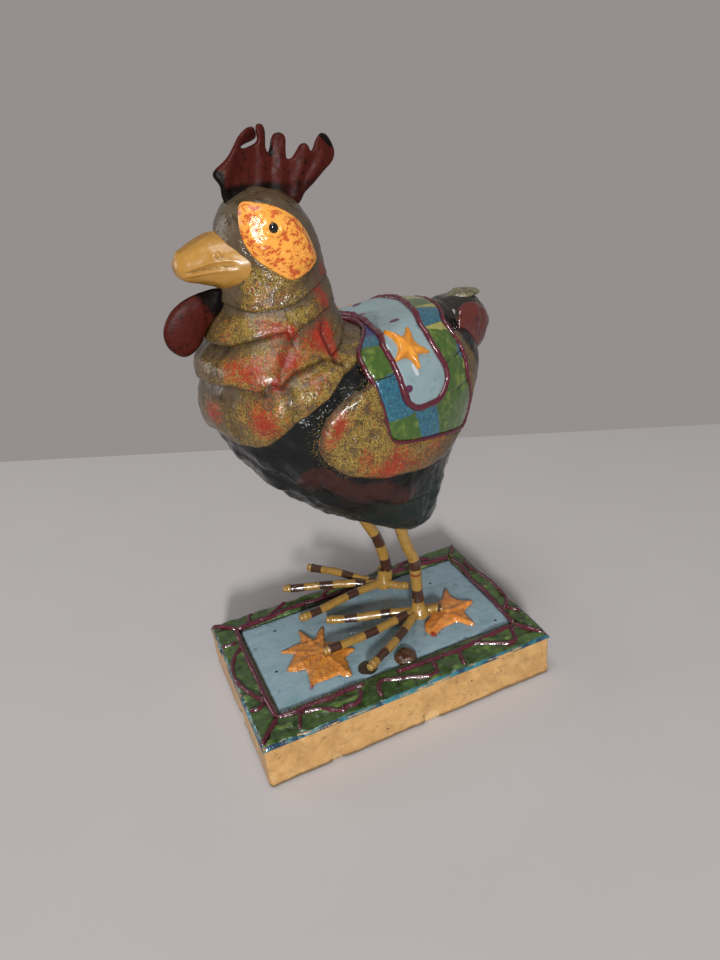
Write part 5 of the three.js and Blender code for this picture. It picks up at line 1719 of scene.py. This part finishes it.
def base_panel_paint():
    p = Paint("panel_base_paint", roughness=0.25, coat=0.3)
    strokes = p.noise(2.2, 5, 0.65, place=p.drawn_out((1, 0.45, 1), (0, 0, 0.5)))
    p.ground("8ba3ac", "7a929a", p.noise(9, 4))
    p.over("8f9fab", p.times(p.step(strokes, 0.45, 0.8), 0.7))
    p.over("688b90", p.times(p.step(p.noise(8, 5, shift=6), 0.48, 0.75), 0.7))
    p.over("54666c", p.times(p.step(p.noise(3.4, 5, shift=9), 0.58, 0.8), 0.8))
    # Painted shade: darker along the panel's edge by the raised border and around the stars
    p.over("2f3a36", p.ragged("edge", 0.4, p.noise(2, 4, shift=1), 0.6, 1.1))
    # Painted shadow of the outer left toe's tip on the panel
    p.over(p.mix("241a12", "3d2c1e", p.noise(1.2, 4)), p.step(p.mask("toe_shadow"), 0.4, 0.6))
    p.over("15120e", p.step(p.mask("speck"), 0.45, 0.6))
    return p.done((0.16, 0.36, 3), (2.2, 5, 0.25, 0.5))


def base_panel_rise(flat, depth):
    return 0.5 - 0.25 * np.exp(-depth / 0.8) + noises(flat_place(flat), (0.1, 8, 201), (0.06, 2.4, 202))


def make_panel():
    outline = resample([(-24.4, -41.2), (19.7, -41.2), (19.7, 43.9), (-24.4, 43.9)], 0.7, closed=True)
    points, faces, depth = relief(outline, 0.8, BLOCK_TOP, base_panel_rise, skirt=0.05)
    flat = points[:, :2]
    hem, _ = nearest(flat, np.vstack([rounded(star, 0.5, closed=True) for star in (FRONT_STAR, REAR_STAR)]))
    # Distance from the middle of the painted toe shadow, with a ragged edge
    toe_shadow = distance_to(flat, TOE_SHADOW) + 0.4 * lumps(points, 2, 203)
    masks = {
        # Painted shade beside the raised border and around the stars
        "edge": np.maximum(np.exp(-depth / 1.2), 0.8 * np.exp(-hem / 0.7)),
        "speck": np.maximum.reduce([bell(distance_to(flat, speck), 0.7) for speck in SPECKS]),
        "toe_shadow": ease(3.9 - toe_shadow, 0, 1.2),
    }
    add_piece("base_panel", points, faces, base_panel_paint(), "panel_sky", masks)


make_panel()

def make_relief_star(name, outline, middle, tips, height, seed, paint, red):
    """A star on the panel, with ridges to its tips and red paint near one place."""

    def rise(flat, depth):
        raised = dome_edge(depth, height, 2.2)
        for tip in tips:
            way = np.subtract(tip, middle)
            length = np.linalg.norm(way)
            along = (flat - middle) @ way / length
            aside = (flat - middle) @ (-way[1], way[0]) / length
            raised += 0.45 * bell(aside, 0.9) * ease(along, 0, 1.5) * (1 - ease(along, length * 0.7, length))
        return raised + noises(flat_place(flat), (0.16, 2.6, seed), (0.08, 1.2, seed + 1))

    points, faces, _ = relief(rounded(outline, 0.45, closed=True), 0.55, PANEL_TOP, rise)
    red_mask = bell(distance_to(points[:, :2], red), 3.0)
    add_piece(name, points, faces, paint, "star_orange", {"red": red_mask})


make_relief_star("star_front", FRONT_STAR, (2.2, -19.6), FRONT_TIPS, 1.0, 211,
                 orange_paint("front_star_paint", "b5702a", "c98638", True), (15.6, -28.9))
make_relief_star("star_rear", REAR_STAR, (5.2, 26.4), REAR_TIPS, 1.1, 215,
                 orange_paint("rear_star_paint", "c0722c", "d28a44", False), (13.5, 16.4))


def mound_rise(flat, depth):
    return dome_edge(depth, 1.9, 3.4) + noises(flat_place(flat), (0.3, 2.2, 221), (0.12, 1, 222))


def make_mound():
    outline = [(17 + 4.1 * math.cos(a) * (1 + 0.08 * math.sin(3 * a)), 3.8 + 4.0 * math.sin(a))
               for a in np.linspace(0, 2 * math.pi, 40)[:-1]]
    points, faces, _ = relief(resample(outline, 0.45, closed=True), 0.5, PANEL_TOP, mound_rise)
    paint = mottled_paint("mound_paint", 0.16, 0.5, "3a2213", "57351d", 1.8, [("140d08", 1.1, 4, 3, 0.5, 0.7)],
                          (0.1, 0.3, 1.2), (1.0, 4, 0.25, 0.7))
    add_piece("panel_mound", points, faces, paint, "mound_umber")


make_mound()

# Stage and lights

def make_stage():
    points = [(-277.8, -125.4), (-78, 243.7), (380, 480), (430, -330), (100, -900), (-560, -647)]
    piece = make_mesh("floor", [(x, y, 0) for x, y in points], [tuple(reversed(range(6)))])
    p = Paint("floor", roughness=1.0, shine=0.1)
    p.ground("bcb7b6", "b6b2b1", p.noise(60, 3))
    piece.data.materials.append(p.done())


make_stage()


def area_light(name, place, aim, size, power):
    """A round lamp: its place and aim in millimetres, its size in metres, its power in watts."""
    data = bpy.data.lights.new(name, "AREA")
    data.shape = "DISK"
    data.size = size
    data.energy = power
    lamp = bpy.data.objects.new(name, data)
    place, aim = Vector(place) * MM, Vector(aim) * MM
    lamp.location = place
    lamp.rotation_mode = "QUATERNION"
    lamp.rotation_quaternion = (aim - place).to_track_quat("-Z", "Y")
    bpy.context.scene.collection.objects.link(lamp)


BIRD_MIDDLE = (BIRD_X, 3, 80)
area_light("key", (1963, -749, 840), BIRD_MIDDLE, 0.26, 59)
area_light("sky", (100, -100, 700), (0, 0, 60), 0.28, 1.4)
area_light("fill", (-320, -420, 260), BIRD_MIDDLE, 0.2, 0.4)


def make_world():
    """A grey wall where rays from the camera end, mirrored or not, and a dimmer room that lights."""
    world = bpy.data.worlds.new("world")
    bpy.context.scene.world = world
    world.use_nodes = True
    tree = world.node_tree
    room = tree.nodes["Background"]
    room.inputs["Color"].default_value = (0.17, 0.165, 0.165, 1)
    wall = tree.nodes.new("ShaderNodeBackground")
    wall.inputs["Color"].default_value = (0.3, 0.275, 0.27, 1)
    rays = tree.nodes.new("ShaderNodeLightPath").outputs
    seen = rays["Is Camera Ray"]
    for name in ("Is Glossy Ray", "Is Transmission Ray"):
        either = tree.nodes.new("ShaderNodeMath")
        either.operation = "MAXIMUM"
        tree.links.new(seen, either.inputs[0])
        tree.links.new(rays[name], either.inputs[1])
        seen = either.outputs[0]
    both = tree.nodes.new("ShaderNodeMixShader")
    tree.links.new(seen, both.inputs[0])
    tree.links.new(room.outputs[0], both.inputs[1])
    tree.links.new(wall.outputs[0], both.inputs[2])
    tree.links.new(both.outputs[0], tree.nodes["World Output"].inputs[0])


make_world()
bpy.context.scene.view_settings.view_transform = "Standard"
